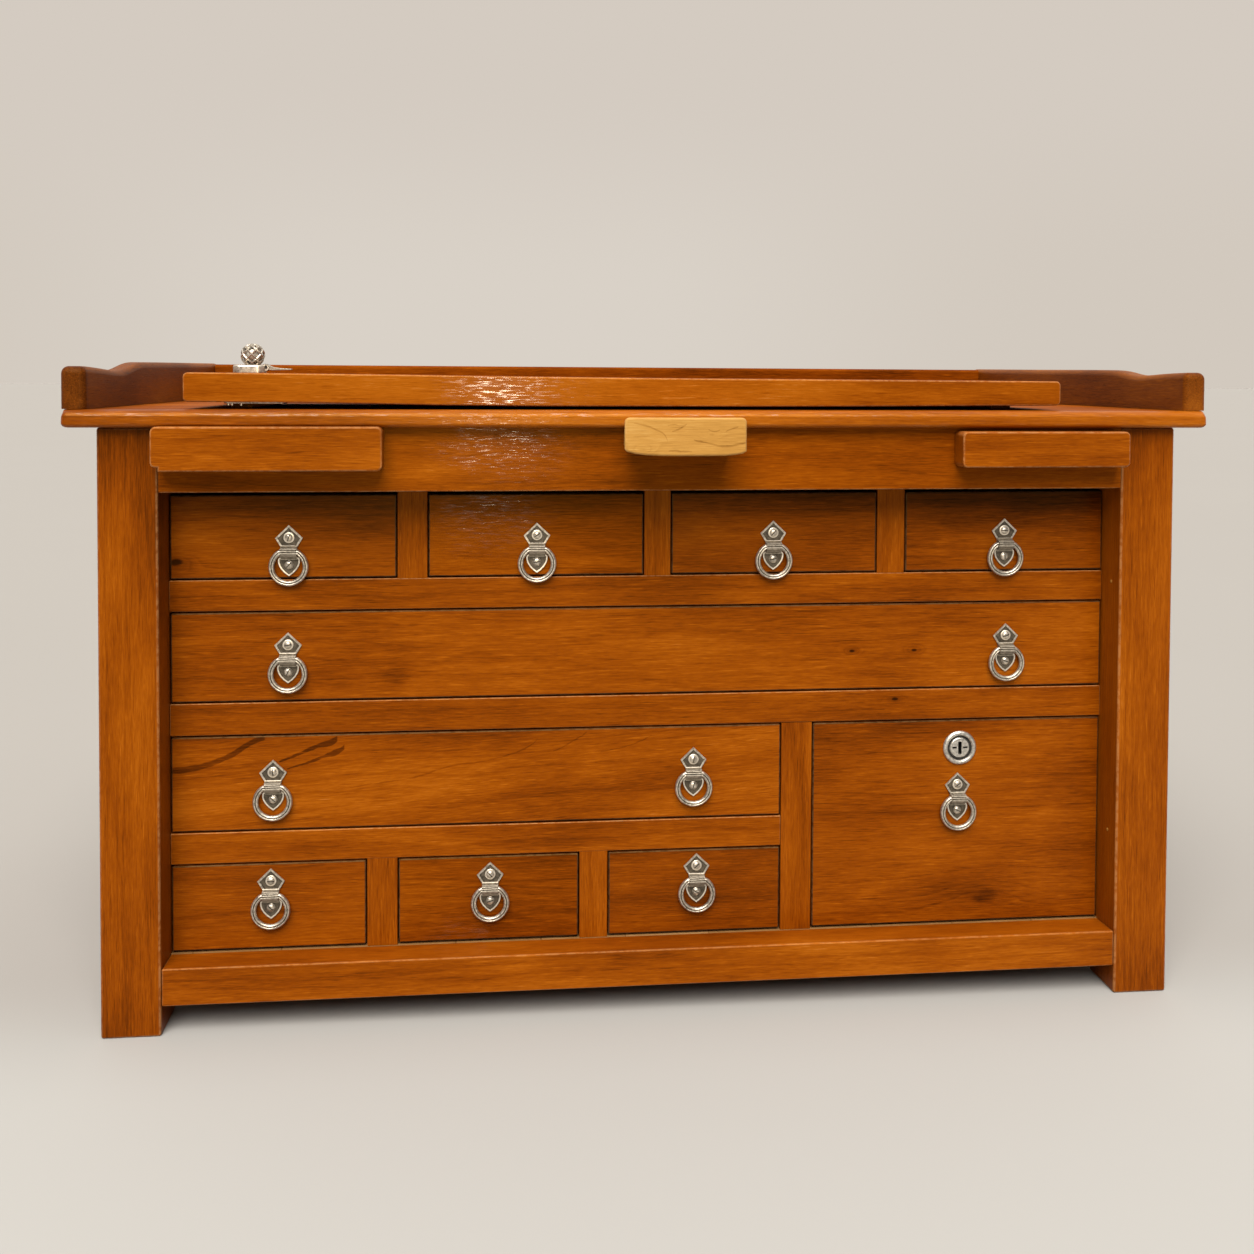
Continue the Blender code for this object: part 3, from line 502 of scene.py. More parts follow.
def wood(
    name, axes, centre, seed, ring=4.2, pith=(5.0, 75.0), wander=13.0, tilt=0.0, contrast=1.0, tone=0.0,
    knots=(), streaks=(), planks=None, palette=HARDWOOD, gloss=1.0, stain=(), bump=1.0, rings=1.0, arris=0.3, sparkle=0.0, patch=(), shine=0.0,
    grime=0.0, fade=(),
):
    """Wood for one board.

    axes names the world axes along the grain, across it on the face that is seen, and into the board.
    centre is the middle of the seen face, pith the growth rings' centre off it (across, into), all in millimetres.
    knots are (along, across, radius, darkness) and streaks lists of (along, across, half thickness) on that face.
    planks is (width, offset) for a panel glued up from boards side by side. The soft patches are (along, across, reach
    along, reach across, depth), darker by depth and lighter where it is below 0: real stains at some places, painted
    shade and painted light at others.
    rings is the strength of the growth lines, arris that of the pale edges, rubbed and carrying a painted highlight,
    the dark-edge weight that of the painted shade on edges beside the gaps, sparkle that of the ripples that catch the
    light, in the polished patch (along, across, reach along, reach across) where there is one, and shine what the whole
    face adds to them. fade is (across, across, depth): dark at the first, clear by the second.
    """
    g = Graph(name)
    index = {"x": 0, "y": 1, "z": 2}
    parts = g.split(g.co)
    origin = W(*centre)
    u, v, w = (g.math("MULTIPLY_ADD", parts[index[a]], 1000.0, -1000.0 * origin[index[a]]) for a in axes)
    mid = {"x": centre[0], "y": centre[1], "z": centre[2]}
    flat_u, flat_v = u, v
    rng = random.Random(seed * 7919 + 17)
    shift = (rng.uniform(-4000, 4000), rng.uniform(-4000, 4000), rng.uniform(-4000, 4000))
    level = None
    if planks:
        width, offset = planks
        place = g.math("MULTIPLY_ADD", v, 1.0 / width, offset)
        number = g.math("FLOOR", place)
        level, hue = g.white(g.add(number, float(seed)))
        hue = g.split(hue)
        u = g.math("MULTIPLY_ADD", hue[0], 1500.0, u)
        v = g.math("MULTIPLY", g.math("SUBTRACT", g.math("FRACT", place), hue[1]), width)
        seam = g.math("ABSOLUTE", g.math("SUBTRACT", g.math("FRACT", g.math("ADD", place, 0.5)), 0.5))
        seam = g.step(seam, 0.35 / width, 0.9 / width, 1.0, 0.0)
    if tilt:
        v = g.math("MULTIPLY_ADD", u, -tilt, v)
    p = g.vec("ADD", g.xyz(u, v, w), shift)
    if planks:
        p = g.vec("ADD", p, g.xyz(0.0, g.mul(number, 313.0), 0.0))

    broad = g.split(g.stretched(p, (0.0021, 0.009, 0.009), 1.0)[1])
    fine = g.stretched(p, (0.008, 0.045, 0.045), 2.0)[0]
    across = g.add(v, g.math("MULTIPLY_ADD", broad[0], wander, -wander / 2 - pith[0]))
    into = g.add(w, g.math("MULTIPLY_ADD", broad[1], wander, -wander / 2 - pith[1]))
    reach = g.add(g.vec("LENGTH", g.xyz(across, into, 0.0)), g.math("MULTIPLY_ADD", fine, 7.0, -3.5))
    dark = None
    for ku, kv, kr, kd in knots:
        du = g.math("MULTIPLY_ADD", flat_u, 0.5 / kr, -(ku - mid[axes[0]]) * 0.5 / kr)
        dv = g.math("MULTIPLY_ADD", flat_v, 1.0 / kr, -(kv - mid[axes[1]]) / kr)
        r = g.vec("LENGTH", g.xyz(du, dv, 0.0))
        r = g.add(r, g.math("MULTIPLY_ADD", g.stretched(p, (0.05, 0.12, 0.12), 2.0)[0], 0.5, -0.25))
        bell = g.math("POWER", 2.7183, g.math("MULTIPLY", g.mul(r, r), -0.45))
        reach = g.add(reach, g.mul(bell, ring * 2.6))
        core = g.mul(g.step(r, 0.16, 0.62, 1.0, 0.0), kd)
        halo = g.mul(bell, kd * 0.30)
        spot = g.add(core, halo)
        dark = g.add(dark, spot) if dark else spot

    phase = g.math("DIVIDE", reach, ring)
    number_ring = g.math("FLOOR", phase)
    strength = g.step(g.white(g.add(number_ring, float(seed) * 3.1))[0], 0.0, 1.0, 0.15, 1.0)
    profile = g.ramp(g.math("FRACT", phase), ((0.0, 0.0), (0.45, 0.18), (0.84, 1.0), (0.93, 0.55), (1.0, 0.0)), "EASE")
    late = g.mul(profile, strength)

    fibre = g.stretched(p, (0.036, 0.76, 0.76), 3.0, 0.6)[0]
    hair = g.stretched(p, (0.100, 1.60, 1.60), 2.0, 0.6)[0]
    band = g.stretched(p, (0.0075, 0.10, 0.10), 3.0, 0.5)[0]
    lines = g.step(g.stretched(p, (0.026, 0.85, 0.85), 2.0, 0.5)[0], 0.61, 0.70)
    glow = g.step(g.stretched(p, (0.038, 0.60, 0.60), 2.0, 0.5)[0], 0.58, 0.72)
    pores = g.step(g.stretched(p, (0.075, 1.9, 1.9), 1.0)[0], 0.62, 0.74)
    cloud = g.stretched(p, (0.0048, 0.019, 0.019), 3.0, 0.5)[0]
    wear_and_edge_shading = g.tree.nodes.new("ShaderNodeAttribute")
    wear_and_edge_shading.attribute_name = "wear_and_edge_shading"
    edge_band = wear_and_edge_shading.outputs["Fac"]

    value = g.math("MULTIPLY_ADD", late, -0.085 * contrast * rings, 0.54 + tone)
    value = g.math("MULTIPLY_ADD", g.math("SUBTRACT", fibre, 0.5), 0.45 * contrast, value)
    value = g.math("MULTIPLY_ADD", g.math("SUBTRACT", hair, 0.5), 0.34, value)
    value = g.math("MULTIPLY_ADD", g.math("SUBTRACT", band, 0.5), 0.14 * contrast, value)
    value = g.math("MULTIPLY_ADD", g.math("SUBTRACT", cloud, 0.5), 0.68 * contrast, value)
    value = g.math("MULTIPLY_ADD", lines, -0.15 * contrast, value)
    value = g.math("MULTIPLY_ADD", glow, 0.13 * contrast, value)
    value = g.math("MULTIPLY_ADD", pores, -0.08, value)
    if level is not None:
        value = g.math("MULTIPLY_ADD", level, 0.14, g.add(value, -0.07))
        value = g.math("MULTIPLY_ADD", seam, -0.35, value)
    if dark is not None:
        value = g.math("MULTIPLY_ADD", dark, -0.62, value)
    # soft patches: some are real stains, some painted shade, and those with depth below 0 painted light
    for su, sv, ru, rv, depth in stain:
        du = g.math("MULTIPLY_ADD", flat_u, 1.0 / ru, -(su - mid[axes[0]]) / ru)
        dv = g.math("MULTIPLY_ADD", flat_v, 1.0 / rv, -(sv - mid[axes[1]]) / rv)
        r = g.add(g.vec("LENGTH", g.xyz(du, dv, 0.0)), g.math("MULTIPLY_ADD", fine, 1.2, -0.6))
        value = g.math("MULTIPLY_ADD", g.step(r, 0.2, 1.1, 1.0, 0.0), -depth, value)
    for line in streaks:
        a, b = line[0][0], line[-1][0]
        low = min(q[1] for q in line) - 5.0
        high = max(q[1] for q in line) + 5.0
        t = g.math("MULTIPLY_ADD", flat_u, 1.0 / (b - a), (mid[axes[0]] - a) / (b - a))
        where = g.curve(t, [((q[0] - a) / (b - a), (q[1] - low) / (high - low)) for q in line])
        where = g.math("MULTIPLY_ADD", where, high - low, low - mid[axes[1]])
        thick = g.math("MULTIPLY", g.curve(t, [((q[0] - a) / (b - a), q[2] / 8.0) for q in line]), 8.0)
        off = g.add(g.math("SUBTRACT", flat_v, where), g.math("MULTIPLY_ADD", g.stretched(p, (0.09, 0.2, 0.2), 2.0)[0], 3.0, -1.5))
        mask = g.step(g.math("DIVIDE", g.math("ABSOLUTE", off), g.math("MAXIMUM", thick, 0.05)), 0.75, 1.15, 1.0, 0.0)
        ends = g.mul(g.step(t, -0.004, 0.02), g.step(t, 0.975, 1.004, 1.0, 0.0))
        value = g.math("MULTIPLY_ADD", g.mul(mask, ends), -0.27 if palette is BEECH else -0.30 if max(q[2] for q in line) > 1.5 else -0.14, value)
    for dark_v, clear_v, depth in fade:
        value = g.math("MULTIPLY_ADD", g.step(flat_v, clear_v - mid[axes[1]], dark_v - mid[axes[1]]), -depth, value)
    # painted shade: the rounded edges of the drawer fronts are darkened beside the gaps round them
    if grime:
        value = g.math("MULTIPLY_ADD", edge_band, -grime, value)
    colour = g.ramp(g.math("MINIMUM", g.math("MAXIMUM", value, 0.0), 1.0), palette)
    # pale edges: rubbed arrises broken up by chips, which also stand for a painted highlight where the rounded edge
    # catches the light
    chips = g.step(g.noise(g.vec("MULTIPLY", g.co, (1000.0, 1000.0, 1000.0)), 3.0, 0.6, 0.16)[0], 0.36, 0.60)
    pale = g.mul(g.mul(edge_band, arris), g.math("MULTIPLY_ADD", chips, 0.75, 0.25))
    colour = g.mix(pale, colour, (0.46, 0.25, 0.10, 1.0))

    rough = g.math("MULTIPLY_ADD", fibre, 0.16, 0.29 + 0.16 * (1.0 - gloss))
    rough = g.math("MULTIPLY_ADD", pores, 0.15, rough)
    skin = g.stretched(p, (0.045, 0.30, 0.30), 2.0)[0]
    height = g.add(g.mul(fibre, 0.13), g.mul(hair, 0.05), g.mul(skin, 0.05), g.mul(pores, -0.05), g.mul(late, -0.02))
    if sparkle:
        height = g.math("MULTIPLY_ADD", g.stretched(p, (0.20, 0.62, 0.62), 1.0)[0], 0.10 * sparkle, height)
    if planks:
        height = g.math("MULTIPLY_ADD", seam, -0.25, height)
    normal = g.bump(height, 0.001, 0.75 * bump)
    g.set(Base_Color=colour, Roughness=rough, Normal=normal)
    g.bsdf.inputs["Specular IOR Level"].default_value = 0.04 + 0.14 * gloss + shine
    g.bsdf.inputs["Specular Tint"].default_value = (1.0, 0.48, 0.06, 1.0)
    if sparkle:
        flecks = g.step(g.stretched(p, (0.070, 0.70, 0.70), 2.0)[0], 0.53, 0.63)
        if patch:
            pu, pv, ru, rv = patch
            du = g.math("MULTIPLY_ADD", flat_u, 1.0 / ru, -(pu - mid[axes[0]]) / ru)
            dv = g.math("MULTIPLY_ADD", flat_v, 1.0 / rv, -(pv - mid[axes[1]]) / rv)
            r = g.add(g.vec("LENGTH", g.xyz(du, dv, 0.0)), g.math("MULTIPLY_ADD", fine, 0.9, -0.45))
            flecks = g.mul(g.step(r, 0.25, 1.05, 1.0, 0.0), g.math("MULTIPLY_ADD", flecks, 1.00 * sparkle, 0.03 * sparkle))
            g.put(g.bsdf.inputs["Coat Weight"], flecks)
        else:
            g.put(g.bsdf.inputs["Coat Weight"], g.math("MULTIPLY_ADD", flecks, 0.62 * sparkle, 0.06 * sparkle))
    else:
        g.bsdf.inputs["Coat Weight"].default_value = 0.03 * gloss
    g.bsdf.inputs["Coat Roughness"].default_value = 0.14 if sparkle else 0.12
    g.bsdf.inputs["Coat IOR"].default_value = 1.45
    g.put(g.bsdf.inputs["Coat Normal"], normal)
    return g.mat


def metal(name, bright, dull, rough, grain=60.0, hammer=0.0, metallic=1.0, amount=0.5):
    """Cast or pressed nickel: brighter and duller patches, fine scratches and small dents."""
    g = Graph(name)
    p = g.vec("MULTIPLY", g.co, (1000.0, 1000.0, 1000.0))
    patches = g.noise(p, 4.0, 0.6, 0.35)[0]
    specks = g.noise(p, 3.0, 0.6, 1.6)[0]
    scratch = g.stretched(p, (0.6, 0.6, 6.0), 3.0, 0.7)[0]
    fac = g.step(g.add(g.mul(patches, 0.65), g.mul(specks, 0.35)), 0.5 - amount * 0.28, 0.5 + amount * 0.28)
    colour = g.mix(fac, (*dull, 1.0), (*bright, 1.0))
    pits = g.step(specks, 0.60, 0.72)
    colour = g.mix(g.mul(pits, 0.35), colour, (dull[0] * 0.5, dull[1] * 0.5, dull[2] * 0.5, 1.0))
    wear_and_edge_shading = g.tree.nodes.new("ShaderNodeAttribute")
    wear_and_edge_shading.attribute_name = "wear_and_edge_shading"
    colour = g.mix(g.mul(wear_and_edge_shading.outputs["Fac"], 0.55), colour, (min(bright[0] * 1.18, 1.0), min(bright[1] * 1.18, 1.0), min(bright[2] * 1.16, 1.0), 1.0))
    roughness = g.math("MULTIPLY_ADD", patches, 0.22, rough - 0.08)
    roughness = g.math("MULTIPLY_ADD", scratch, 0.10, roughness)
    height = g.add(g.mul(scratch, 0.012), g.mul(patches, 0.05 + hammer), g.mul(pits, -0.04))
    g.set(Base_Color=colour, Roughness=roughness, Normal=g.bump(height, 0.001, 0.8))
    g.bsdf.inputs["Metallic"].default_value = metallic
    return g.mat


NICKEL = metal("aged_nickel", (0.72, 0.64, 0.53), (0.235, 0.200, 0.155), 0.27, metallic=0.88, amount=0.7)
# darker nickel for the pulls' ribbed straps; on the knob's tongue it is painted shade
RIBBED_AND_SHADE = metal("ribbed_nickel_and_shade", (0.42, 0.365, 0.290), (0.180, 0.152, 0.115), 0.42, metallic=0.85, amount=0.7)
PATINA = metal("nickel_recess", (0.130, 0.102, 0.069), (0.030, 0.023, 0.015), 0.42, hammer=0.25, metallic=0.6, amount=0.7)
STEEL = metal("lock_steel", (0.74, 0.69, 0.61), (0.29, 0.265, 0.225), 0.24, metallic=0.88, amount=0.7)
# near-black painted shade: the groove round the lock's plug, its keyway and notches, and the hole in the knob's hump
HOLE_SHADE = metal("painted_hole_shade", (0.020, 0.016, 0.012), (0.006, 0.005, 0.004), 0.55, metallic=0.3)
MESH = metal("knob_mesh", (0.660, 0.590, 0.490), (0.300, 0.258, 0.200), 0.34, hammer=0.3, metallic=0.75, amount=0.8)


# -------------------------------------------------------------- wooden pieces
LEG = 60.0
LEG_OUT, LEG_IN = 570.0, 510.0
REAR_LEG_Y = 560.0
TOP_HALF, TOP_FRONT, TOP_BACK = 601.5, -12.0, 630.0
TOP_Z0, TOP_Z1 = 625.4, 643.6
FACE_Y, RAIL_T, WEB_T, WEB_BACK, WEB_HALF = 42.0, 22.0, 12.0, 587.7, 533.7
BOTTOM_RAIL, LEDGE_FRONT, FLOOR_TOP = (30.5, 67.4), 69.4, 69.3
RAIL_3, RAIL_2, RAIL_1 = (162.0, 195.0), (298.5, 332.5), (429.9, 462.9)
CARCASS_TOP, APRON = (555.5, 567.5), (558.8, 625.1)
TOP_UPRIGHTS = ((-273.3, -241.8), (-8.9, 19.8), (250.0, 280.9))
SMALL_UPRIGHTS = ((-305.7, -273.7), (-78.3, -47.8))
STILE = (144.1, 178.3)
SLIDE_Z = (595.5, 619.5)
PIN_TONGUE = (-10.0, 50.0, 604.9, 620.9)
GALLERY_IN, GALLERY_OUT = 579.0, 603.5
WAVE_LEFT = (
    (3.0, 687.0), (20.0, 686.8), (40.0, 686.1), (60.0, 685.3), (80.0, 684.3), (100.0, 683.5), (118.0, 683.0), (135.0, 683.3), (150.0, 684.6),
    (165.0, 686.5), (180.0, 688.7), (195.0, 690.8), (210.0, 692.3), (225.0, 693.0), (280.0, 693.4), (420.0, 694.1), (630.0, 695.0),
)
WAVE_RIGHT = (
    (3.0, 685.5), (30.0, 684.9), (55.0, 684.1), (75.0, 683.1), (92.0, 682.4), (106.0, 682.3), (119.0, 682.9), (132.0, 684.3), (145.0, 686.1),
    (156.0, 687.4), (168.0, 688.3), (184.0, 688.9), (240.0, 689.4), (400.0, 690.2), (630.0, 691.8),
)
BOARD_UNDER = (
    (-482.5, 650.9), (-438.0, 650.6), (-365.0, 650.2), (-282.0, 648.9), (-230.0, 648.0), (-127.0, 647.1), (-12.0, 647.0), (113.0, 647.0),
    (240.0, 647.5), (304.0, 648.0), (439.5, 648.8),
)
BOARD_TOP = ((-482.5, 681.3), (-365.0, 680.4), (-262.0, 679.5), (-158.0, 678.4), (-50.0, 677.5), (50.0, 676.8), (208.0, 676.2), (439.5, 675.4))


def front_board(name, x0, x1, z0, z1, y=FACE_Y, **kw):
    """Wood for a board seen from the front with its grain running left to right."""
    seed = kw.pop("seed")
    return wood(name, "xzy", ((x0 + x1) / 2, y, (z0 + z1) / 2), seed, **kw)


def post_wood(name, x, y, z, seed, **kw):
    return wood(name, "zxy", (x, y, z), seed, **kw)


INNER_SIDE = wood("inner_wood_side", "yzx", (0, 300, 300), 41, palette=INNER, gloss=0.2, ring=5.0, pith=(60.0, 90.0), contrast=0.8)
INNER_CROSS = wood("inner_wood_cross", "xzy", (0, 300, 300), 42, palette=INNER, gloss=0.2, ring=5.0, pith=(50.0, 90.0), contrast=0.8)
INNER_PANEL = wood("inner_wood_panel", "yxz", (0, 300, 300), 43, palette=INNER, gloss=0.2, ring=6.0, pith=(20.0, 120.0), contrast=0.8, planks=(92.0, 0.3))


def posts():
    looks = {
        # the front posts are darker towards the top and towards the foot
        "front_left": dict(seed=1, pith=(40.0, 60.0), tone=-0.01, contrast=0.9, stain=((640.0, -540.0, 190.0, 150.0, 0.22), (0.0, -540.0, 60.0, 90.0, 0.14))),
        "front_right": dict(seed=2, pith=(-50.0, 55.0), tone=0.035, contrast=0.9, stain=((635.0, 540.0, 70.0, 120.0, 0.10), (0.0, 540.0, 90.0, 90.0, 0.10))),
        "rear_left": dict(seed=3, pith=(45.0, -60.0)),
        "rear_right": dict(seed=4, pith=(-45.0, -60.0)),
    }
    for name, look in looks.items():
        place, side = name.split("_")
        x0 = -LEG_OUT if side == "left" else LEG_IN
        y0 = 0.0 if place == "front" else REAR_LEG_Y
        mat = post_wood(f"post_{name}", x0 + 30, y0, 320.0, **look)
        piece = Piece(f"post_{name}")
        piece.box(mat, x0, x0 + LEG, y0, y0 + LEG, 0.0, TOP_Z0 - GAP, 2.7, 4, weight=lambda co: 1.0 if abs(co.x) < LEG_OUT - 10.0 else 0.5)
        piece.done("frame", f"leg_{place}_{side}")


def apron():
    left_slot, right_slot = (-506.0, -289.0), (329.0, 500.0)
    pin_slot = (PIN_TONGUE[0] - 0.6, PIN_TONGUE[1] + 0.6)
    pin_z = (PIN_TONGUE[2] - 0.6, PIN_TONGUE[3] + 0.6)
    slot_z = (SLIDE_Z[0] - 0.6, SLIDE_Z[1] + 0.6)
    boss = (-30.0, 70.0)

    def filled(x, y, z):
        if inside(x, pin_slot) and inside(z, pin_z):
            return False
        if y > 23.0:
            return inside(x, boss) and z > 590.0
        return not ((inside(x, left_slot) or inside(x, right_slot)) and inside(z, slot_z))

    bm = cells(
        (-LEG_IN + GAP, left_slot[0], left_slot[1], boss[0], pin_slot[0], pin_slot[1], boss[1], right_slot[0], right_slot[1], LEG_IN - GAP),
        (1.0, 23.0, 60.0),
        (APRON[0], 590.0, slot_z[0], pin_z[0], slot_z[1], pin_z[1], APRON[1]),
        filled,
    )
    bevel(bm, 1.5, 3, keep=lambda a, b: a.y < 1.1 and b.y < 1.1 and a.z < 559.5 and b.z < 559.5)
    # the darker patch at x -385 under the left arm rest is the arm rest's painted shadow
    mat = front_board("apron_wood", -510, 510, 559, 625, y=1.0, seed=5, pith=(-12.0, 62.0), ring=4.6, tone=-0.035, contrast=0.9, arris=0.4, sparkle=0.85, patch=(-160.0, 600.0, 82.0, 38.0), stain=((-120.0, 592.0, 170.0, 60.0, 0.05), (-385.0, 564.0, 140.0, 34.0, 0.14)))
    Piece("apron_board").add(bm, mat, edge_band=1.5).done("frame", "apron_front")


def bottom_rail():
    mat = front_board("bottom_rail_wood", -510, 510, *BOTTOM_RAIL, y=1.0, seed=6, pith=(30.0, 52.0), tone=0.01, arris=0.2)
    back = FACE_Y - GAP
    bm = prism([(1.0, BOTTOM_RAIL[0]), (back, BOTTOM_RAIL[0]), (back, BOTTOM_RAIL[1]), (1.0, LEDGE_FRONT)], "X", -LEG_IN + GAP, LEG_IN - GAP)
    piece = Piece("bottom_rail")
    piece.add(bevel(bm, 1.8, 4), mat, edge_band=1.8)
    piece.done("frame", "bottom_rail_front")


def side_panels():
    for name, side, seed in (("left", -1, 7), ("right", 1, 8)):
        xa, xb = sorted((side * 534.0, side * 558.0))
        pa, pb = sorted((side * 540.0, side * 550.0))
        outer = side * 558.0
        y0, y1 = LEG + GAP, REAR_LEG_Y - GAP
        low = BOTTOM_RAIL[1] + 20.0
        rail = wood(f"side_rail_{name}", "yzx", (outer, 310, 60), seed, pith=(30.0, -50.0 * side))
        rail_top = wood(f"side_top_rail_{name}", "yzx", (outer, 310, 594), seed + 20, pith=(25.0, -60.0 * side))
        field = wood(f"side_field_{name}", "zyx", (side * 550.0, 310, 320), seed + 30, planks=(121.0, 0.5), pith=(8.0, -70.0 * side), ring=4.6)
        piece = Piece(f"side_panel_frame_{name}")
        piece.box(rail, xa, xb, y0, y1, BOTTOM_RAIL[0], low, 2.0, 3)
        piece.box(rail_top, xa, xb, y0, y1, APRON[0], APRON[1], 2.0, 3)
        piece.box(field, pa, pb, y0, y1, low - 0.5, APRON[0] + 0.5, 0.4, 1)
        piece.done("frame", f"side_panel_{name}")


def back_panel():
    piece = Piece("back_boards")
    left, right = -LEG_IN + GAP, LEG_IN - GAP
    count = 8
    width = (right - left) / count
    z0, z1 = BOTTOM_RAIL[0], APRON[1]
    for n in range(count):
        a, b = left + n * width, left + (n + 1) * width
        mat = wood(f"back_board_{n + 1}", "zxy", ((a + b) / 2, 600.0, 330.0), 60 + n, palette=HARDWOOD, pith=(random.Random(n).uniform(-25, 25), -70.0), tone=0.02 * (n % 3) - 0.02, gloss=0.6)
        piece.box(mat, a, b, 588.0, 600.0, z0, z1, 1.6, 2)
    piece.done("frame", "back_panel", slot="inner_wood")


def web(name, node, rail, left, right, seed, uprights=(), upright_z=None, **look):
    """A rail with the thin panel behind it, and the uprights that stand on or hang from it."""
    reach_l, reach_r = left < -500.0, right > 500.0
    rail_l = -LEG_IN + GAP if reach_l else left
    rail_r = LEG_IN - GAP if reach_r else right
    lo = -WEB_HALF if reach_l else left
    hi = WEB_HALF if reach_r else right
    piece = Piece(name)
    mat = front_board(f"{name}_wood", rail_l, rail_r, *rail, seed=seed, arris=0.45, **look)
    # the rail's upper edge takes the full pale line, a painted highlight along the arris under each drawer
    piece.box(mat, rail_l, rail_r, FACE_Y, FACE_Y + RAIL_T, rail[0], rail[1], 1.1, 3, weight=lambda co: 1.0 if co.z > rail[0] + 10.0 else 0.35)
    panel_z0 = rail[1] - WEB_T
    for n, (a, b) in enumerate(uprights):
        z0, z1 = upright_z
        stick = post_wood(f"{name}_upright_{n + 1}", (a + b) / 2, FACE_Y, (z0 + z1) / 2, seed * 10 + n, pith=(30.0 - 20 * n, 45.0), tone=0.01, arris=0.45)
        piece.box(stick, a, b, FACE_Y, FACE_Y + RAIL_T, z0, z1, 0.8, 3, keep=lambda p, q: abs(p.z - q.z) > 1.0)
        m = (a + b) / 2
        if z0 >= rail[1] - 1:
            piece.box(INNER_SIDE, m - WEB_T / 2, m + WEB_T / 2, FACE_Y + RAIL_T - 0.5, WEB_BACK, z0 - 0.5, z1, 0.4, 1)
        else:
            piece.box(INNER_SIDE, m - WEB_T / 2, m + WEB_T / 2, FACE_Y + RAIL_T - 0.5, WEB_BACK, FLOOR_TOP + GAP, panel_z0 + 0.5, 0.4, 1)
    ys = (FACE_Y + RAIL_T - 0.5, REAR_LEG_Y - GAP, WEB_BACK)
    panel = cells(
        sorted({lo, hi, rail_l, rail_r}), ys if not (reach_l or reach_r) else (FACE_Y + RAIL_T - 0.5, REAR_LEG_Y - GAP, WEB_BACK), (panel_z0, rail[1]),
        lambda x, y, z: rail_l < x < rail_r or y < REAR_LEG_Y - GAP,
    )
    piece.add(panel, INNER_PANEL)
    piece.done("frame", node)


def carcass():
    web("top_drawer_rail", "upper_web_frame", RAIL_1, -510.0, 510.0, 10, TOP_UPRIGHTS, (RAIL_1[1], CARCASS_TOP[0] - GAP), pith=(-22.0, 48.0), tone=-0.04)
    web("middle_rail", "middle_web", RAIL_2, -510.0, 510.0, 11, pith=(26.0, 50.0), tone=-0.05, knots=((272.1, 321.9, 3.2, 0.9),))
    web(
        "lower_rail", "lower_web_frame", RAIL_3, -510.0, STILE[0] - GAP, 12, SMALL_UPRIGHTS, (BOTTOM_RAIL[1] + GAP, RAIL_3[0] + 0.2),
        pith=(-15.0, 60.0), tone=0.0,
    )
    mid = (STILE[0] + STILE[1]) / 2
    z0, z1 = BOTTOM_RAIL[1] + GAP, RAIL_2[0] - GAP
    stick = post_wood("stile_wood", mid, FACE_Y, (z0 + z1) / 2, 13, pith=(28.0, 50.0), tone=0.01, arris=0.45)
    piece = Piece("stile")
    piece.box(stick, STILE[0], STILE[1], FACE_Y, FACE_Y + RAIL_T, z0, z1, 0.9, 3, keep=lambda p, q: abs(p.z - q.z) > 1.0)
    piece.box(INNER_SIDE, mid - WEB_T / 2, mid + WEB_T / 2, FACE_Y + RAIL_T - 0.5, WEB_BACK, FLOOR_TOP + GAP, z1, 0.4, 1)
    piece.done("frame", "stile_right")

    lip = FACE_Y + RAIL_T + GAP
    bm = cells(
        (-WEB_HALF, -LEG_IN + GAP, LEG_IN - GAP, WEB_HALF), (FACE_Y, LEG + GAP, lip, REAR_LEG_Y - GAP, WEB_BACK),
        (FLOOR_TOP - WEB_T, BOTTOM_RAIL[1], FLOOR_TOP),
        lambda x, y, z: (abs(x) < LEG_IN - GAP or inside(y, (LEG + GAP, REAR_LEG_Y - GAP))) and (z < BOTTOM_RAIL[1] or y > lip),
    )
    Piece("carcass_floor_boards").add(bm, INNER_PANEL).done("frame", "carcass_floor", slot="inner_wood")

    piece = Piece("carcass_top_boards")
    bm = cells(
        (-WEB_HALF, -LEG_IN + GAP, LEG_IN - GAP, WEB_HALF), (FACE_Y, LEG + GAP, REAR_LEG_Y - GAP, WEB_BACK), CARCASS_TOP,
        lambda x, y, z: abs(x) < LEG_IN - GAP or inside(y, (LEG + GAP, REAR_LEG_Y - GAP)),
    )
    piece.add(bm, INNER_PANEL)
    for a, b in ((-505.0, -485.0), (-310.0, -290.0), (332.0, 352.0), (477.0, 497.0)):
        piece.box(INNER_SIDE, a, b, FACE_Y, 420.0, CARCASS_TOP[1] - 0.5, SLIDE_Z[0] - GAP, 1.0, 2)
    piece.done("frame", "carcass_top", slot="inner_wood")


